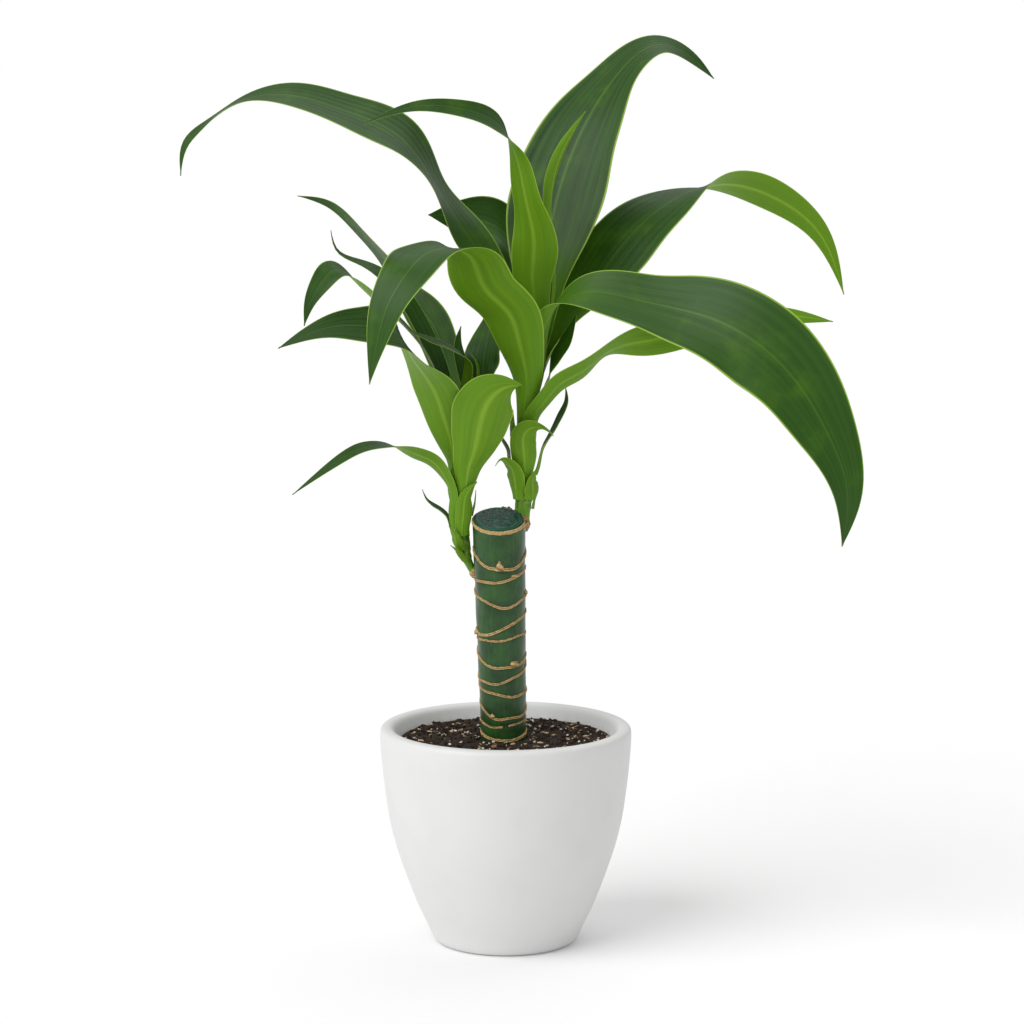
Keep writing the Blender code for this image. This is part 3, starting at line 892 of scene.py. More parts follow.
def tumbled(draw: np.random.Generator, tilt: float) -> np.ndarray:
    """Random rotation.

    Args:
        draw: Source of chance.
        tilt: Largest lean from level in radians.

    Returns:
        A rotation matrix.
    """
    spin = draw.uniform(0, math.tau)
    lean = draw.uniform(-tilt, tilt)
    turn = draw.uniform(0, math.tau)
    flat = np.array([[math.cos(spin), -math.sin(spin), 0], [math.sin(spin), math.cos(spin), 0],
                     [0, 0, 1]])
    lift = np.array([[1, 0, 0], [0, math.cos(lean), -math.sin(lean)],
                     [0, math.sin(lean), math.cos(lean)]])
    back = np.array([[math.cos(turn), -math.sin(turn), 0], [math.sin(turn), math.cos(turn), 0],
                     [0, 0, 1]])
    return back @ lift @ flat


# ------------------------------------------------------------------ cane

@dataclass(frozen=True)
class Scar:
    """Leaf scar round the cane: height on the axis, climb to the right, drop to the front."""

    height: float
    climb: float
    drop: float
    stout: float = 1.0
    gap: tuple[float, float] | None = None    # angle and half width of a break, degrees

    def level(self, turn: np.ndarray) -> np.ndarray:
        """Height of the scar at an angle."""
        return self.height + self.climb * np.cos(turn) + self.drop * np.sin(turn)


class BudForm(Enum):
    """Forms of the dormant buds."""

    POINTED = "pointed"
    ROUND = "round"


@dataclass(frozen=True)
class Bud:
    """Dormant bud on a scar: which scar, where on it, and its size."""

    scar: int
    angle: float
    width: float
    height: float
    depth: float
    form: BudForm


@dataclass
class Cane:
    """Cut cane with its leaf scars, buds, callus and wax seal."""

    top: tuple[float, float] = (-4.7, 288.0)      # x of the axis and height at the cut
    ground: tuple[float, float] = (-1.4, 140.0)   # the same at the soil
    top_radius: float = 17.8
    ground_radius: float = 15.2
    scar_size: float = 0.80
    cut_rise: float = 5.6
    foot: float = 129.5
    rows: int = 170
    sides: int = 120
    wax_radius: float = 16.6
    wax_thickness: float = 1.4
    # outlines of a scar and of the cut's rim: distance out, distance up, crease mark (painted shade in
    # the cork's creases)
    lips: tuple[tuple[float, float, float], ...] = (
        (-0.9, -1.25, 0.3), (0.16, -1.25, 0.3), (0.72, -0.85, 0.0), (0.62, -0.35, 0.1),
        (0.14, -0.02, 1.0), (0.50, 0.32, 0.1), (0.66, 0.72, 0.0), (0.14, 1.10, 0.5),
        (-0.9, 1.10, 0.5))
    rim: tuple[tuple[float, float, float], ...] = (
        (-1.1, -1.7, 0.0), (0.05, -1.9, 0.2), (0.42, -1.2, 0.0), (0.40, -0.5, 0.4),
        (0.28, 0.15, 0.0), (-0.25, 0.55, 0.0), (-1.0, 0.30, 0.9))
    # centre and half sizes of the swelling under each shoot
    swellings: tuple = (((10.5, 11.5, 284.0), (6.0, 6.4, 6.2)),
                        ((-20.6, 4.0, 252.0), (3.8, 3.8, 4.0)))
    swelling_rings: int = 30
    swelling_sides: int = 56
    crust_grains: int = 46
    scars: tuple[Scar, ...] = (
        Scar(268, -1, 11, 1.15), Scar(253, 3, 4, 1.0), Scar(240, -1, 8, 1.0),
        Scar(220, 7, 4, 1.05), Scar(211, 2, 2, 0.75), Scar(198, -1, 8, 1.0),
        Scar(187, 4, 7, 0.9), Scar(175, -2, 4, 0.95), Scar(163, -2, 8, 0.9),
        Scar(153, 1, 3, 0.7, (-83.0, 8.0)), Scar(144.5, 0, 4, 1.0))
    buds: tuple[Bud, ...] = (
        Bud(0, -90.0, 7.0, 6.8, 2.2, BudForm.POINTED),
        Bud(3, -163.0, 4.2, 6.4, 2.4, BudForm.POINTED),
        Bud(5, -58.0, 6.4, 4.6, 2.6, BudForm.ROUND),
        Bud(8, -117.0, 4.6, 2.6, 1.6, BudForm.POINTED),
        Bud(2, -6.0, 5.0, 3.4, 1.6, BudForm.ROUND),
        Bud(1, -52.0, 7.0, 2.4, 1.2, BudForm.ROUND),
        Bud(1, 118.0, 6.0, 5.6, 2.2, BudForm.POINTED),
        Bud(4, 70.0, 5.6, 4.4, 2.2, BudForm.ROUND),
        Bud(7, 96.0, 5.4, 5.0, 2.0, BudForm.POINTED))

    def axis(self, height: "float | np.ndarray") -> tuple["float | np.ndarray", "float | np.ndarray"]:
        """Centre and radius of the cane.

        Args:
            height: Height above the surface that the tub stands on.

        Returns:
            The x of the axis and the radius there.
        """
        share = (height - self.ground[1]) / (self.top[1] - self.ground[1])
        centre = self.ground[0] + share * (self.top[0] - self.ground[0])
        return centre, self.ground_radius + share * (self.top_radius - self.ground_radius)

    def on_bark(self, turn: np.ndarray, height: np.ndarray, out: "np.ndarray | float") -> np.ndarray:
        """Places on the cane.

        Args:
            turn: Angles round the cane.
            height: Heights.
            out: Distance outside the bark.

        Returns:
            The places as x, y, z.
        """
        centre, radius = self.axis(height)
        return np.stack([centre + (radius + out) * np.cos(turn), (radius + out) * np.sin(turn),
                         height], -1)

    def build(self) -> None:
        """Build the cane and everything on it."""
        cork = Cork().material()
        self.build_bark()
        self.build_scars(cork)
        self.build_buds(cork)
        self.build_callus(cork)
        self.build_wax()

    def build_bark(self) -> None:
        """Green surface of the cane between the buried foot and the cut."""
        turn = turns(self.sides)
        cut = self.top[1] + self.cut_rise * np.sin(turn)
        share = np.linspace(0.0, 1.0, self.rows)[:, None]
        height = self.foot + share * (cut - self.foot)
        near = np.zeros_like(height)
        for scar in self.scars:
            near = np.maximum(near, np.exp(-((height - scar.level(turn)) / 1.7) ** 2))
        dents = Wobble("cane", 0.16, range(2, 7))(turn + 0.035 * height)
        out = dents - 0.25 * near - 0.3 * ease((share - 0.992) / 0.008)
        shape = Shape()
        # the mark near sets the dip in the bark beside each scar and the painted shade there
        rows = shape.grid(self.on_bark(np.broadcast_to(turn, height.shape), height, out),
                          around=True, near=near)
        shape.close(rows[0])
        shape.close(rows[-1])
        shape.piece("cane_bark_tube", CaneBark().material(), ("cane",))

    def ribbon(self, shape: Shape, level: np.ndarray, turn: np.ndarray,
               outline: list[tuple[float, float, float]], seed: str,
               swell: np.ndarray) -> None:
        """Sweep a ragged outline round the cane.

        Args:
            shape: Shape to add it to.
            level: Height of the sweep at each angle.
            turn: Angles round the cane.
            outline: Closed outline of distance out, distance up and crease mark of painted shade.
            seed: Text that fixes the random draw.
            swell: Factor on the distance out at each angle.
        """
        loops, creases = [], []
        for k, (out, up, crease) in enumerate(outline):
            ragged = Wobble(f"{seed} {k}", 0.20, range(3, 30))(turn)
            beyond = np.where(out > 0.0, out * swell * (1.0 + ragged), out)
            loops.append(self.on_bark(turn, level + up + 0.55 * ragged, beyond))
            creases.append(np.full(len(turn), crease))
        rows = shape.grid(np.array(loops), around=True, groove=np.array(creases))
        shape.join(rows[-1], rows[0], around=True)

    def build_scars(self, cork: bpy.types.Material) -> None:
        """Double lipped scars, and the rim of dry bark round the cut."""
        turn = turns(220)
        shape = Shape()
        for k, scar in enumerate(self.scars):
            slim = self.scar_size * scar.stout
            outline = [(out * slim, up * slim, crease) for out, up, crease in self.lips]
            swell = 1.0 + Wobble(f"swell {k}", 0.30, range(1, 5))(turn)
            level = scar.level(turn) + Wobble(f"stray {k}", 0.55, range(2, 6))(turn)
            if scar.gap:
                apart = np.abs((turn - math.radians(scar.gap[0]) + math.pi) % math.tau - math.pi)
                open_part = 1.0 - ease((apart / math.radians(scar.gap[1]) - 0.8) * 4.0)
                swell = swell * (1.0 - open_part) - 3.0 * open_part
            self.ribbon(shape, level, turn, outline, f"scar {k}", swell)
        cut = self.top[1] + self.cut_rise * np.sin(turn)
        burnt = 1.0 + 1.2 * np.exp(-((turn - math.radians(28.0)) / 0.45) ** 2)
        self.ribbon(shape, cut, turn, self.rim, "rim", burnt)
        shape.piece("cane_scars", cork, sharp=70.0)

    def build_buds(self, cork: bpy.types.Material) -> None:
        """Dormant buds that sit on the scars."""
        shape = Shape()
        for k, bud in enumerate(self.buds):
            share = np.linspace(0.0, 1.0, 12)[:, None]
            turn = turns(22)
            if bud.form is BudForm.POINTED:
                wide = 0.06 + 0.94 * (1.0 - share ** 1.3) * (0.75 + 0.25 * ease(share / 0.2))
                deep = 0.05 + 0.95 * (1.0 - share ** 1.8)
            else:
                wide = 0.05 + 0.95 * np.sqrt(np.clip(1.0 - (2.0 * share - 1.0) ** 2, 0, 1))
                deep = wide
            scale = 1.0 + Wobble(f"bud {k}", 0.10, range(3, 9))(turn + 5.0 * share)
            across = bud.width / 2.0 * wide * np.cos(turn) * scale
            out = bud.depth * deep * np.sin(turn) * scale
            level = self.scars[bud.scar].level(math.radians(bud.angle)) - 0.6
            height = np.broadcast_to(level + bud.height * share, across.shape)
            centre, radius = self.axis(height)
            angle = math.radians(bud.angle) + across / radius
            spots = np.stack([centre + (radius + out) * np.cos(angle),
                              (radius + out) * np.sin(angle), height], -1)
            crease = (0.5 + 0.5 * np.sin(9.0 * share + 2.0 * np.cos(turn))) ** 3
            rows = shape.grid(spots, around=True, groove=crease)
            shape.close(rows[0])
            shape.close(rows[-1])
        shape.piece("cane_buds", cork, sharp=60.0)

    def build_callus(self, cork: bpy.types.Material) -> None:
        """Rough swellings that the two shoots grow from."""
        shape = Shape()
        draw = np.random.default_rng(5)
        size = (self.swelling_rings, self.swelling_sides)
        steepest = math.pi / 2 - 0.08
        turn = turns(self.swelling_sides)
        rise = np.linspace(-steepest, steepest, self.swelling_rings)[:, None]
        for centre, radii in self.swellings:
            rough = 1.0 + Wobble("callus", 0.05, range(3, 16))(turn + 3.0 * rise)
            rough = rough + 0.035 * draw.normal(size=size)
            spots = np.stack([centre[0] + radii[0] * rough * np.cos(rise) * np.cos(turn),
                              centre[1] + radii[1] * rough * np.cos(rise) * np.sin(turn),
                              centre[2] + radii[2] * rough * np.sin(rise)], -1)
            rows = shape.grid(spots, around=True, groove=draw.random(size) ** 2)
            shape.close(rows[0])
            shape.close(rows[-1])
        ball_points, ball_faces = ball()
        for angle in np.radians(np.linspace(-8.0, 82.0, self.crust_grains)):
            height = self.top[1] + self.cut_rise * math.sin(angle) + draw.uniform(-1.3, 0.9)
            spot = self.on_bark(np.array(angle), np.array(height), draw.uniform(-0.6, 1.0))
            grain = draw.uniform(0.5, 1.15)
            bumps = 1.0 + 0.25 * draw.normal(size=len(ball_points)).clip(-1.4, 1.4)
            shape.add(ball_points * bumps[:, None] * grain + spot, ball_faces,
                      groove=draw.uniform(0.2, 1.0))
        shape.piece("shoot_callus", cork, sharp=60.0)

    def build_wax(self) -> None:
        """Pitted disc of wax poured on the sloping cut."""
        turn = turns(176)
        draw = np.random.default_rng(3)
        share = np.concatenate([[0.02], np.linspace(0.04, 0.97, 52), [0.985, 0.995, 1.0]])[::-1, None]
        edge = self.wax_radius * (1.0 + Wobble("wax", 0.012, range(2, 12))(turn))
        reach = share * edge
        x, y = reach * np.cos(turn), reach * np.sin(turn)
        dent = np.zeros_like(x)
        for _ in range(330):
            far, way = 13.6 * math.sqrt(draw.random()), draw.uniform(0, math.tau)
            spread = draw.uniform(0.45, 1.15)
            near = (x - far * math.cos(way)) ** 2 + (y - far * math.sin(way)) ** 2
            dent = np.maximum(dent, draw.uniform(0.4, 1.0) * np.exp(-near / spread ** 2))
        band = 0.30 * np.exp(-((share - 0.9) / 0.06) ** 2)
        rounding = 0.75 * np.clip((share - 0.955) / 0.045, 0.0, 1.0) ** 2
        sag = 0.35 * np.cos(np.clip(share, 0, 0.8) * math.pi / 0.8)
        slope = self.cut_rise / self.top_radius
        base = self.top[1] + slope * y
        lift = self.wax_thickness + band - rounding - 0.15 * sag - 0.55 * dent
        top = np.stack([self.top[0] + x, y, base + lift], -1)
        foot = top[0].copy()
        foot[:, 2] = base[0] + 0.2
        shape = Shape()
        # the mark dent carries the depth of the dimples and the painted shade in them
        rows = shape.grid(np.concatenate([foot[None], top]), around=True,
                          dent=np.concatenate([np.zeros((1, len(turn))), dent]))
        shape.close(rows[0])
        shape.close(rows[-1])
        shape.piece("wax_seal", SealingWax().material(), ("cane_cap",), sharp=80.0)


# ------------------------------------------------------------------ shoots

class Shoot(Enum):
    """The two shoots, named as their stems are in the frame."""

    MAIN = "main_stem"
    LEFT = "left_stem"


# stations of each core: x, y, height and radius, with the foot set in its swelling
STEM_STATIONS = {
    Shoot.MAIN: ((10.8, 12.2, 286.0, 5.0), (11.5, 13, 293.4, 5.4), (12, 13, 300, 5.7),
                 (12.5, 13, 320, 6.2), (13.5, 14, 345, 6.6), (15, 15, 367, 6.4),
                 (20, 16, 401, 5.0), (27, 16, 434, 2.6)),
    Shoot.LEFT: ((-20.5, 4.3, 251.0, 3.0), (-25, 5, 258.2, 3.2), (-28, 5.5, 270, 4.4),
                 (-29.5, 6, 283, 4.9), (-30, 8, 300, 5.0), (-27, 8, 321, 5.2),
                 (-25, 8, 348, 4.6), (-22, 8, 378, 2.6)),
}


@dataclass
class Stem:
    """Core of a shoot, ringed by the edges of old sheaths."""

    shoot: Shoot
    finish: bpy.types.Material
    rows: int = 150
    sides: int = 48
    spacing: float = 7.5
    tilt: float = 2.6
    shelf: float = 0.45

    def at(self, height: float) -> tuple[np.ndarray, float]:
        """Centre and radius of the core.

        Args:
            height: Height to read them at.

        Returns:
            The centre and the radius.
        """
        rows = np.array(STEM_STATIONS[self.shoot], float)
        centre = np.array([np.interp(height, rows[:, 2], rows[:, 0]),
                           np.interp(height, rows[:, 2], rows[:, 1]), height])
        return centre, float(np.interp(height, rows[:, 2], rows[:, 3]))

    def build(self) -> None:
        """Build the core."""
        rows = np.array(STEM_STATIONS[self.shoot], float)
        knots = chord_lengths(rows[:, :3])
        at = np.linspace(0.0, knots[-1], self.rows)
        centre = spline(knots, rows[:, :3], at)
        radius = np.interp(at, knots, rows[:, 3])[:, None]
        turn = turns(self.sides)
        tilt = self.tilt * np.sin(turn + 2.4 * np.floor(at / self.spacing)[:, None])
        phase = ((at[:, None] + tilt) / self.spacing) % 1.0
        out = self.shelf * (1.0 - phase) - 0.3
        spots = np.stack([centre[:, :1] + (radius + out) * np.cos(turn),
                          centre[:, 1:2] + (radius + out) * np.sin(turn),
                          np.broadcast_to(centre[:, 2:], phase.shape)], -1)
        shape = Shape()
        ring = shape.grid(spots, around=True, edge=np.exp(-(phase / 0.10) ** 2))
        shape.close(ring[0])
        shape.close(ring[-1])
        name = self.shoot.value
        shape.piece(name + "_core", self.finish, (name,))


HALF_COLUMNS = (0.0, 0.03, 0.075, 0.13, 0.19, 0.26, 0.33, 0.40, 0.47, 0.54, 0.61, 0.68, 0.75,
                0.81, 0.87, 0.92, 0.96, 0.985, 1.0)


@dataclass
class Leaf:
    """One blade: where it leaves its stem, the path of its midrib, its width and twist."""

    name: str
    shoot: Shoot
    at: float                                # height where the base sits on the stem
    heading: float                           # direction of the base, degrees from +X to +Y
    path: list[tuple[float, float, float]]   # midrib stations above the sheath
    width: tuple[float, float]               # half width at the base and at the widest place
    belly: float                             # share of the length where it is widest
    taper: float = 1.6                       # 1 narrows evenly, more stays wide for longer
    roll: list[float] = field(default_factory=list)
    curl: tuple[float, float] = (60, 12)     # half angle of the section, base and blade
    rise: float = 12.0
    lean: float = 0.28
    gap: float = 1.3
    small: bool = False
    steps: int = 96
    tip: float = 0.4

    def stations(self, stem: Stem) -> np.ndarray:
        """Midrib stations.

        Args:
            stem: The core that the sheath clasps.

        Returns:
            Two stations on the sheath, then the path.
        """
        angle = math.radians(self.heading)
        out = np.array([math.cos(angle), math.sin(angle), 0.0])
        low, low_radius = stem.at(self.at)
        high, high_radius = stem.at(self.at + self.rise)
        high_radius = max(high_radius, 0.8 * low_radius)
        first = low + out * (low_radius + self.gap)
        second = high + out * (high_radius + self.gap + self.lean * self.rise)
        return np.array([first, second, *self.path], float)

    def frames(self, stem: Stem) -> tuple[np.ndarray, np.ndarray, np.ndarray]:
        """Midrib with the directions of the blade along it.

        Args:
            stem: The core that the sheath clasps.

        Returns:
            Evenly spaced midrib points, sideways directions and face directions.
        """
        stations = self.stations(stem)
        knots = chord_lengths(stations)
        at = np.linspace(0.0, knots[-1], 4 * self.steps + 1)
        run = chord_lengths(spline(knots, stations, at))
        even = np.interp(np.linspace(0.0, run[-1], self.steps + 1), run, at)
        middle = spline(knots, stations, even)
        along = np.gradient(middle, axis=0)
        along /= np.linalg.norm(along, axis=1)[:, None]
        angle = math.radians(self.heading)
        side = np.array([-math.sin(angle), math.cos(angle), 0.0])
        sides = np.zeros_like(middle)
        for i, direction in enumerate(along):
            side = side - direction * (side @ direction)
            side /= np.linalg.norm(side)
            sides[i] = side
        faces = np.cross(along, sides)
        twist = [0.0, 0.0, *(self.roll or [0.0] * len(self.path))]
        roll = np.radians(spline(knots, np.array(twist), even))
        return (middle, np.cos(roll) * sides + np.sin(roll) * faces,
                np.cos(roll) * faces - np.sin(roll) * sides)

    def half_width(self, share: np.ndarray) -> np.ndarray:
        """Half width of the blade at shares of its length."""
        neck, widest = self.width
        swell = neck + (widest - neck) * ease(share / self.belly)
        past = np.clip((share - self.belly) / (1.0 - self.belly), 0.0, 1.0)
        fall = np.maximum(widest * (1.0 - past ** self.taper), self.tip)
        return np.where(share < self.belly, swell, fall)

    def build(self, stem: Stem, finish: bpy.types.Material) -> None:
        """Build the blade as a thin closed body.

        Args:
            stem: The core that the sheath clasps.
            finish: Leaf material.
        """
        middle, side, face = self.frames(stem)
        share = np.linspace(0.0, 1.0, self.steps + 1)
        if self.small:
            middle, side, face, share = middle[::2], side[::2], face[::2], share[::2]
        half = self.half_width(share)[:, None]
        bend = self.curl[0] + (self.curl[1] - self.curl[0]) * ease(share / 0.3)
        bend = np.radians(bend)[:, None]
        columns = np.array(HALF_COLUMNS)
        across = np.concatenate([-columns[:0:-1], columns])
        arc = bend * across
        flat = half * np.sin(arc) / bend
        lift = half * (1.0 - np.cos(arc)) / bend
        normal = face[:, None] * np.cos(arc)[..., None] - side[:, None] * np.sin(arc)[..., None]
        skin = middle[:, None] + side[:, None] * flat[..., None] + face[:, None] * lift[..., None]
        relief = self.relief(share[:, None], across, half)
        thick = (0.42 - 0.26 * np.abs(across) ** 3) * (1.0 - 0.45 * share[:, None] ** 3)
        keel = 0.55 * np.exp(-(across / 0.05) ** 2) * (1.0 - share[:, None])
        upper = skin + normal * (relief + thick - 0.4 * keel)[..., None]
        lower = skin + normal * (relief - thick - keel)[..., None]
        tone = random.Random(self.name).random()
        marks = {"tone": tone, "across": np.broadcast_to(across, half.shape[:1] + across.shape),
                 "along": np.broadcast_to(share[:, None], half.shape[:1] + across.shape)}
        shape = Shape()
        above = shape.grid(upper, lower=0.0, **marks)
        below = shape.grid(lower, lower=1.0, **marks)
        for first, second in ((above[:, 0], below[:, 0]), (above[:, -1], below[:, -1]),
                              (above[0], below[0]), (above[-1], below[-1])):
            shape.join(first, second)
        shape.piece("blade_" + self.name, finish, (self.name,), sharp=75.0)

    def relief(self, share: np.ndarray, across: np.ndarray, half: np.ndarray) -> np.ndarray:
        """Pleats of the blade and the ruffle of its margins.

        Args:
            share: Shares of the length.
            across: Places across the blade, -1 to 1.
            half: Half width of the blade.

        Returns:
            Distance from the smooth skin.
        """
        free = ease((share - 0.18) / 0.3)
        pleat = 0.007 * half * np.cos(across * 4.5 * math.tau) * (1.0 - 0.6 * share)
        ruffle = 0.0
        for sign in (-1.0, 1.0):
            wave = Wobble(f"{self.name} {sign}", 1.0, range(2, 8))(share * 5.2)
            ruffle = ruffle + wave * np.clip(sign * across, 0.0, 1.0) ** 2.5
        sway = Wobble(self.name + " sway", 0.35, range(1, 5))(share * 4.0)
        return free * (pleat + (0.045 * ruffle + 0.012 * sway) * half)


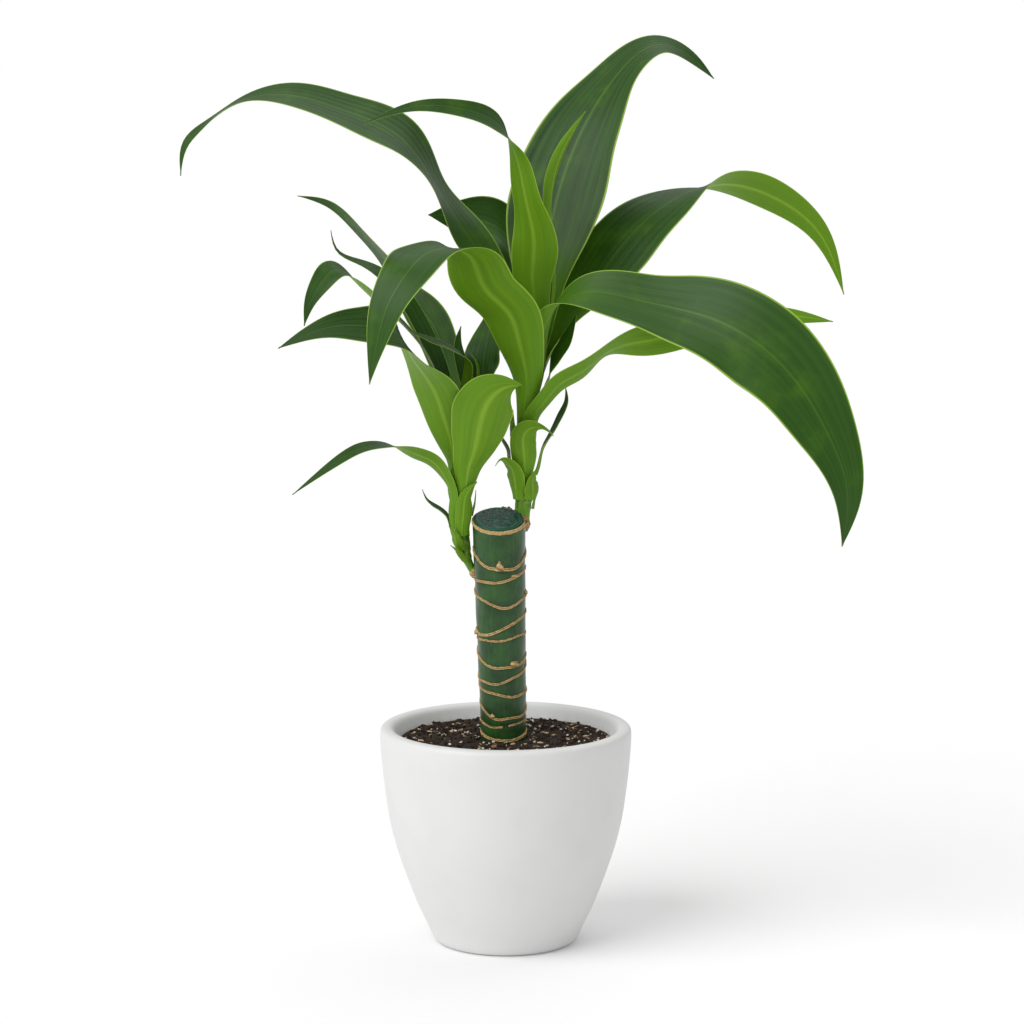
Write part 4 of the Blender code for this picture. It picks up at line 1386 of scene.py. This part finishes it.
LEAVES = (
    # main shoot, from the spear in the middle outwards
    Leaf("new_spear", Shoot.MAIN, at=422, heading=10, width=(3.5, 6.5), belly=0.65,
         path=[(30, 15, 502), (35, 16, 527), (53, 16, 560)],
         roll=[-35, -60, -55], curl=(60, 70), lean=0.05, small=True),
    Leaf("centre_front", Shoot.MAIN, at=403, heading=-95, width=(6, 16), belly=0.28, taper=1.2,
         path=[(18, 4, 448), (19, -4, 474), (14, -12, 501), (6, -21, 535), (-7, -30, 554),
               (-27, -38, 562), (-58, -44, 564), (-91, -50, 553)],
         roll=[0, -15, -40, -60, -100, -115, -120, -115]),
    Leaf("tall_back", Shoot.MAIN, at=394, heading=75, width=(7, 34), belly=0.37, taper=1.6,
         path=[(26, 36, 439), (33, 52, 493), (54, 72, 550), (76, 90, 583), (107, 104, 604),
               (131, 110, 593), (144, 111, 581)],
         roll=[-10, -5, -10, -25, -15, 10, 20]),
    Leaf("long_left", Shoot.MAIN, at=386, heading=175, width=(8, 26.5), belly=0.42, taper=1.15,
         path=[(-3, 22, 443), (-22, 23, 472), (-48, 28, 512), (-72, 32, 543), (-109, 38, 560),
               (-145, 44, 570), (-179, 49, 566), (-204, 52, 550),
               (-216, 52, 538), (-220, 52, 516)],
         roll=[-20, -30, -5, -30, -35, -35, -20, -30, -60, -60]),
    Leaf("right_back", Shoot.MAIN, at=382, heading=30, width=(8, 26), belly=0.33, taper=1.4,
         path=[(46, 36, 423), (85, 60, 475), (118, 80, 500), (150, 96, 509), (189, 108, 498),
               (219, 116, 474), (237, 118, 431)],
         roll=[15, 30, 10, -25, -50, -60, -60]),
    Leaf("short_back_left", Shoot.MAIN, at=377, heading=142, width=(7, 20), belly=0.7,
         path=[(10, 45, 432), (-4, 63, 479), (-25, 67, 487), (-53, 69, 489)],
         roll=[-10, -25, -70, -90]),
    Leaf("broad_right", Shoot.MAIN, at=372, heading=-72, width=(7, 30), belly=0.6, taper=1.5,
         path=[(23, 1, 402), (31, -6, 430), (49, -13, 441), (90, -27, 437), (135, -50, 427),
               (178, -68, 399), (206, -79, 358), (220, -84, 318), (217, -84, 283)],
         roll=[15, 45, 85, 95, 110, 105, 100, 100, 100]),
    Leaf("back_right_low", Shoot.MAIN, at=362, heading=-18, width=(5, 9), belly=0.6,
         path=[(31, 5, 391), (40, 3, 407), (47, 0, 426)],
         roll=[25, 40, 45], gap=2, small=True),
    Leaf("front_left", Shoot.MAIN, at=348, heading=-100, width=(6.5, 25), belly=0.4, taper=2,
         path=[(14, 2, 378), (12, -4, 394), (8, -9, 411), (2, -14, 428), (-14, -23, 446),
               (-23, -33, 467), (-48, -54, 471), (-61, -72, 461), (-74, -82, 441),
               (-81, -84, 419), (-87, -84, 388)],
         roll=[0, -5, -10, -15, -20, -30, -40, -50, -50, -50, -45], lean=0.15),
    Leaf("low_right", Shoot.MAIN, at=332, heading=-75, width=(5.5, 11), belly=0.45, taper=3,
         path=[(18, 2, 357), (25, 0, 367), (36, -1, 380), (50, 1, 388), (70, 8, 402),
               (99, 18, 408), (137, 28, 417), (175, 36, 423), (222, 43, 418)],
         roll=[5, 15, 20, 30, 45, -10, -30, -35, -30], lean=0.2, gap=2.6),
    # short leaves and scales lower on the main shoot
    Leaf("narrow_left_b", Shoot.MAIN, at=326, heading=-150, width=(4.5, 5.5), belly=0.45,
         path=[(5, 6, 341), (4, 4, 352), (5, 3, 362)],
         roll=[0, 0, 0], curl=(55, 25), rise=6, lean=0.2, gap=2, small=True),
    Leaf("narrow_left_a", Shoot.MAIN, at=321, heading=170, width=(3, 4), belly=0.4,
         path=[(1, 14, 334), (-3, 12, 342), (-4, 11, 352)],
         roll=[0, 0, 0], curl=(55, 25), rise=5, lean=0.35, gap=2.6, small=True),
    Leaf("thin_right", Shoot.MAIN, at=317, heading=0, width=(3.2, 4), belly=0.4, taper=2.6,
         path=[(25, 11, 335), (31, 12, 345), (37, 13, 357), (41, 14, 367), (40, 15, 377)],
         roll=[0, 15, 30, 35, 35], curl=(55, 25), rise=5, lean=0.3, gap=1.8, small=True),
    Leaf("folded_small", Shoot.MAIN, at=313, heading=-90, width=(6, 9), belly=0.4, taper=2,
         path=[(12, 1, 335), (12, -1, 345), (17, -5, 351), (25, -8, 351), (32, -10, 346)],
         roll=[0, 0, 10, 20, 25], curl=(62, 25), rise=6, lean=0.12, gap=2.2),
    Leaf("main_scale_2", Shoot.MAIN, at=301, heading=-130, width=(6, 7.5), belly=0.45, taper=1.8,
         path=[(6, 4, 317), (2, 1, 326), (-3, -1, 329), (-7, -2, 325)],
         curl=(60, 25), rise=6, lean=0.12, gap=1.7, small=True),
    Leaf("main_scale_3", Shoot.MAIN, at=301, heading=-55, width=(5, 6), belly=0.35, taper=1.3,
         path=[(18, 2.5, 313), (20, 2.5, 322)],
         curl=(42, 30), rise=5, lean=0.2, gap=3.8, small=True),
    Leaf("main_scale_1", Shoot.MAIN, at=303, heading=155, width=(2.6, 3), belly=0.3, taper=1.4,
         path=[(4, 17, 312), (2, 17, 319)],
         curl=(50, 30), rise=4, lean=0.3, gap=1.3, small=True),
    Leaf("main_scale_0", Shoot.MAIN, at=294, heading=0, width=(2.6, 3), belly=0.3, taper=1.4,
         path=[(19.5, 13, 300), (21, 13, 304)],
         curl=(50, 40), rise=3, lean=0.1, small=True),
    # left shoot, from the middle outwards
    Leaf("left_spear", Shoot.LEFT, at=367, heading=0, width=(2.6, 3.3), belly=0.3, taper=2,
         path=[(-18, 8, 385), (-19, 8, 393), (-24, 8, 400)],
         curl=(50, 50), rise=4, lean=0.05, small=True),
    Leaf("left_tip_tiny", Shoot.LEFT, at=361, heading=100, width=(3.7, 4.8), belly=0.4, taper=2,
         path=[(-30, 16, 393), (-32, 17, 407), (-30, 18, 417)],
         curl=(50, 30), rise=6, lean=0.15, small=True),
    Leaf("strip_left", Shoot.LEFT, at=354, heading=-150, width=(4.7, 6.2), belly=0.6, taper=2,
         path=[(-26, -5, 396), (-41, -14, 407), (-64, -22, 417)],
         roll=[0, -10, -20], small=True),
    Leaf("back_mid", Shoot.LEFT, at=349, heading=5, width=(5, 16.5), belly=0.64,
         path=[(-15, 14, 380), (-15, 17, 394), (-11, 22, 412), (-3, 34, 440)],
         roll=[30, 45, 30, 15]),
    Leaf("back_left_long", Shoot.LEFT, at=340, heading=80, width=(6, 17), belly=0.47, taper=1.1,
         path=[(-38, 36, 386), (-50, 46, 417), (-65, 50, 435), (-80, 55, 457), (-99, 60, 478),
               (-119, 64, 496), (-142, 66, 502)],
         roll=[-20, -35, -50, -70, -70, -50, -35]),
    Leaf("left_thin_behind", Shoot.LEFT, at=312, heading=40, width=(2, 2.5), belly=0.3, taper=2,
         path=[(-20, 16, 324), (-18, 17, 335)],
         curl=(50, 20), rise=5, small=True),
    Leaf("folded_left", Shoot.LEFT, at=311, heading=165, width=(5, 13), belly=0.72, taper=1.2,
         path=[(-38, 8, 355), (-55, 6, 403), (-76, -1, 427), (-98, -10, 448), (-112, -18, 457),
               (-121, -25, 449), (-128, -28, 437), (-132, -30, 421)],
         roll=[10, 20, 30, 30, 10, -10, -20, -30], lean=0.2, gap=1.8),
    Leaf("boat_front", Shoot.LEFT, at=298, heading=-80, width=(5, 22), belly=0.64, taper=1.8,
         path=[(-25, -7, 322), (-21, -14, 336), (-17, -23, 355), (-10, -30, 373),
               (0, -34, 381), (11, -37, 383)],
         roll=[0, -5, -10, -10, 5, 25], curl=(50, 42), lean=0.3, gap=3.8),
    Leaf("twisted_tip", Shoot.LEFT, at=307, heading=95, width=(4.5, 6.5), belly=0.8, taper=2,
         path=[(-36, 20, 345), (-42, 20, 380), (-55, 20, 414), (-75, 22, 444), (-98, 24, 459),
               (-113, 23, 467), (-117, 22, 481)],
         roll=[5, 10, 20, 40, 65, 70, 65], gap=2.8, small=True),
    Leaf("broad_left", Shoot.LEFT, at=299, heading=-165, width=(5.5, 25), belly=0.52, taper=1.1,
         path=[(-35, 1, 327), (-40, -3, 355), (-49, -9, 380), (-62, -18, 400), (-71, -30, 416),
               (-91, -44, 422), (-114, -54, 422), (-147, -60, 409)],
         roll=[45, 50, 30, 5, -10, -22, -22, -20], gap=1.6),
    Leaf("left_thin_dark", Shoot.LEFT, at=290, heading=5, width=(2, 2.2), belly=0.4, taper=2.5,
         path=[(-21, 4, 298), (-20, 4, 308)],
         curl=(50, 20), rise=4, gap=1.8, small=True),
    Leaf("low_left_arch", Shoot.LEFT, at=281, heading=-150, width=(4.5, 8.5), belly=0.5, taper=1.2,
         path=[(-36, -1, 305), (-41, -3, 319), (-48, -5, 328), (-57, -8, 333),
               (-72, -13, 339), (-93, -24, 340), (-118, -34, 327), (-140, -42, 311)],
         roll=[5, 15, 25, 25, 0, -25, -30, -40], lean=0.12, gap=2.4),
    # scales at the foot of the left shoot
    Leaf("left_sheath_a", Shoot.LEFT, at=278, heading=-86, width=(4.8, 6.2), belly=0.45, taper=1.3,
         path=[(-28, -4, 294), (-27, -6, 304), (-24, -7, 310), (-19, -7, 315)],
         curl=(48, 40), rise=6, lean=0.2, gap=4.2, small=True),
    Leaf("thin_left_low", Shoot.LEFT, at=273, heading=160, width=(2.6, 3), belly=0.35, taper=2.5,
         path=[(-40, 9, 290), (-47, 8, 296), (-53, 7, 301), (-56, 7, 308)],
         curl=(55, 25), rise=4, lean=0.3, gap=1.6, small=True),
    Leaf("left_sheath_b", Shoot.LEFT, at=267, heading=-125, width=(3.8, 4.6), belly=0.35, taper=1.4,
         path=[(-34, -4, 278), (-38, -6, 285)],
         curl=(55, 40), rise=4, lean=0.4, gap=1.7, small=True),
    Leaf("left_bract", Shoot.LEFT, at=260, heading=-125, width=(3, 3.4), belly=0.3, taper=1.4,
         path=[(-32, -4, 267), (-37, -6, 272)],
         curl=(55, 35), rise=3, lean=0.5, gap=1.4, small=True),
)


@dataclass
class Foliage:
    """Both stems and every blade on them."""

    leaves: tuple[Leaf, ...] = LEAVES

    def build(self) -> None:
        """Build the stems and the blades."""
        skin, green = StemSkin().material(), LeafSkin().material()
        stems = {shoot: Stem(shoot, skin) for shoot in Shoot}
        for stem in stems.values():
            stem.build()
        for leaf in self.leaves:
            leaf.build(stems[leaf.shoot], green)


# ------------------------------------------------------------------ studio

@dataclass(frozen=True)
class Softbox:
    """Broad studio light: its bearing from the front to the right, its height, its spread
    in degrees and its power."""

    name: str
    bearing: float
    height: float
    spread: float
    power: float

    def build(self) -> None:
        """Hang the light so that it shines on the whole floor alike."""
        lamp = bpy.data.lights.new(self.name, 'SUN')
        lamp.angle = math.radians(self.spread)
        lamp.energy = self.power
        made = bpy.data.objects.new(self.name, lamp)
        made.rotation_euler = (math.radians(90.0 - self.height), 0.0, math.radians(self.bearing))
        bpy.context.scene.collection.objects.link(made)


@dataclass
class Studio:
    """Floor, light and camera."""

    camera_place: Colour = (0.00423, -2.1, 0.5914)
    camera_dip: float = 8.07        # degrees below the horizon
    lens: float = 111.2
    floor_size: float = 400.0
    floor_gap: float = 0.0002
    sky_power: float = 0.50
    backdrop_power: float = 1.0
    lights: tuple[Softbox, ...] = (
        Softbox("key", -52.0, 42.0, 50.0, 1.9),
        Softbox("top", 150.0, 65.0, 60.0, 0.7))

    def build(self) -> None:
        """Build the studio."""
        reach = self.floor_size / 2.0
        mesh = bpy.data.meshes.new("studio_floor")
        corners = [(x, y, -self.floor_gap) for x, y in
                   ((-reach, -reach), (reach, -reach), (reach, reach), (-reach, reach))]
        mesh.from_pydata(corners, [], [(0, 1, 2, 3)])
        mesh.materials.append(Paper().material())
        floor = bpy.data.objects.new("studio_floor", mesh)
        bpy.context.scene.collection.objects.link(floor)
        for light in self.lights:
            light.build()
        self.build_sky()
        bpy.context.scene.view_settings.view_transform = 'Standard'
        self.build_camera()

    def build_sky(self) -> None:
        """Even white surround, brighter where it is the backdrop than as a light."""
        world = bpy.data.worlds.new("studio_sky")
        world.use_nodes = True
        tree = world.node_tree
        tree.nodes.clear()
        end = tree.nodes.new("ShaderNodeOutputWorld")
        mixed = tree.nodes.new("ShaderNodeMixShader")
        seen = tree.nodes.new("ShaderNodeLightPath")
        tree.links.new(seen.outputs["Is Camera Ray"], mixed.inputs[0])
        for socket, power in ((1, self.sky_power), (2, self.backdrop_power)):
            glow = tree.nodes.new("ShaderNodeBackground")
            glow.inputs["Color"].default_value = (1.0, 1.0, 1.0, 1.0)
            glow.inputs["Strength"].default_value = power
            tree.links.new(glow.outputs[0], mixed.inputs[socket])
        tree.links.new(mixed.outputs[0], end.inputs[0])
        bpy.context.scene.world = world

    def build_camera(self) -> None:
        """Stand the camera in front of the plant, a little above its middle."""
        lens = bpy.data.cameras.new("camera")
        lens.lens = self.lens
        lens.sensor_width = 36.0
        camera = bpy.data.objects.new("camera", lens)
        camera.location = self.camera_place
        camera.rotation_euler = (math.radians(90.0 - self.camera_dip), 0.0, 0.0)
        bpy.context.scene.collection.objects.link(camera)
        bpy.context.scene.camera = camera


def main() -> None:
    """Build the plant and its studio."""
    logging.basicConfig(level=logging.INFO, format="%(message)s")
    tub = Tub()
    tub.build()
    SoilBed(tub).build()
    Cane().build()
    Foliage().build()
    Studio().build()


if __name__ == "__main__":
    main()
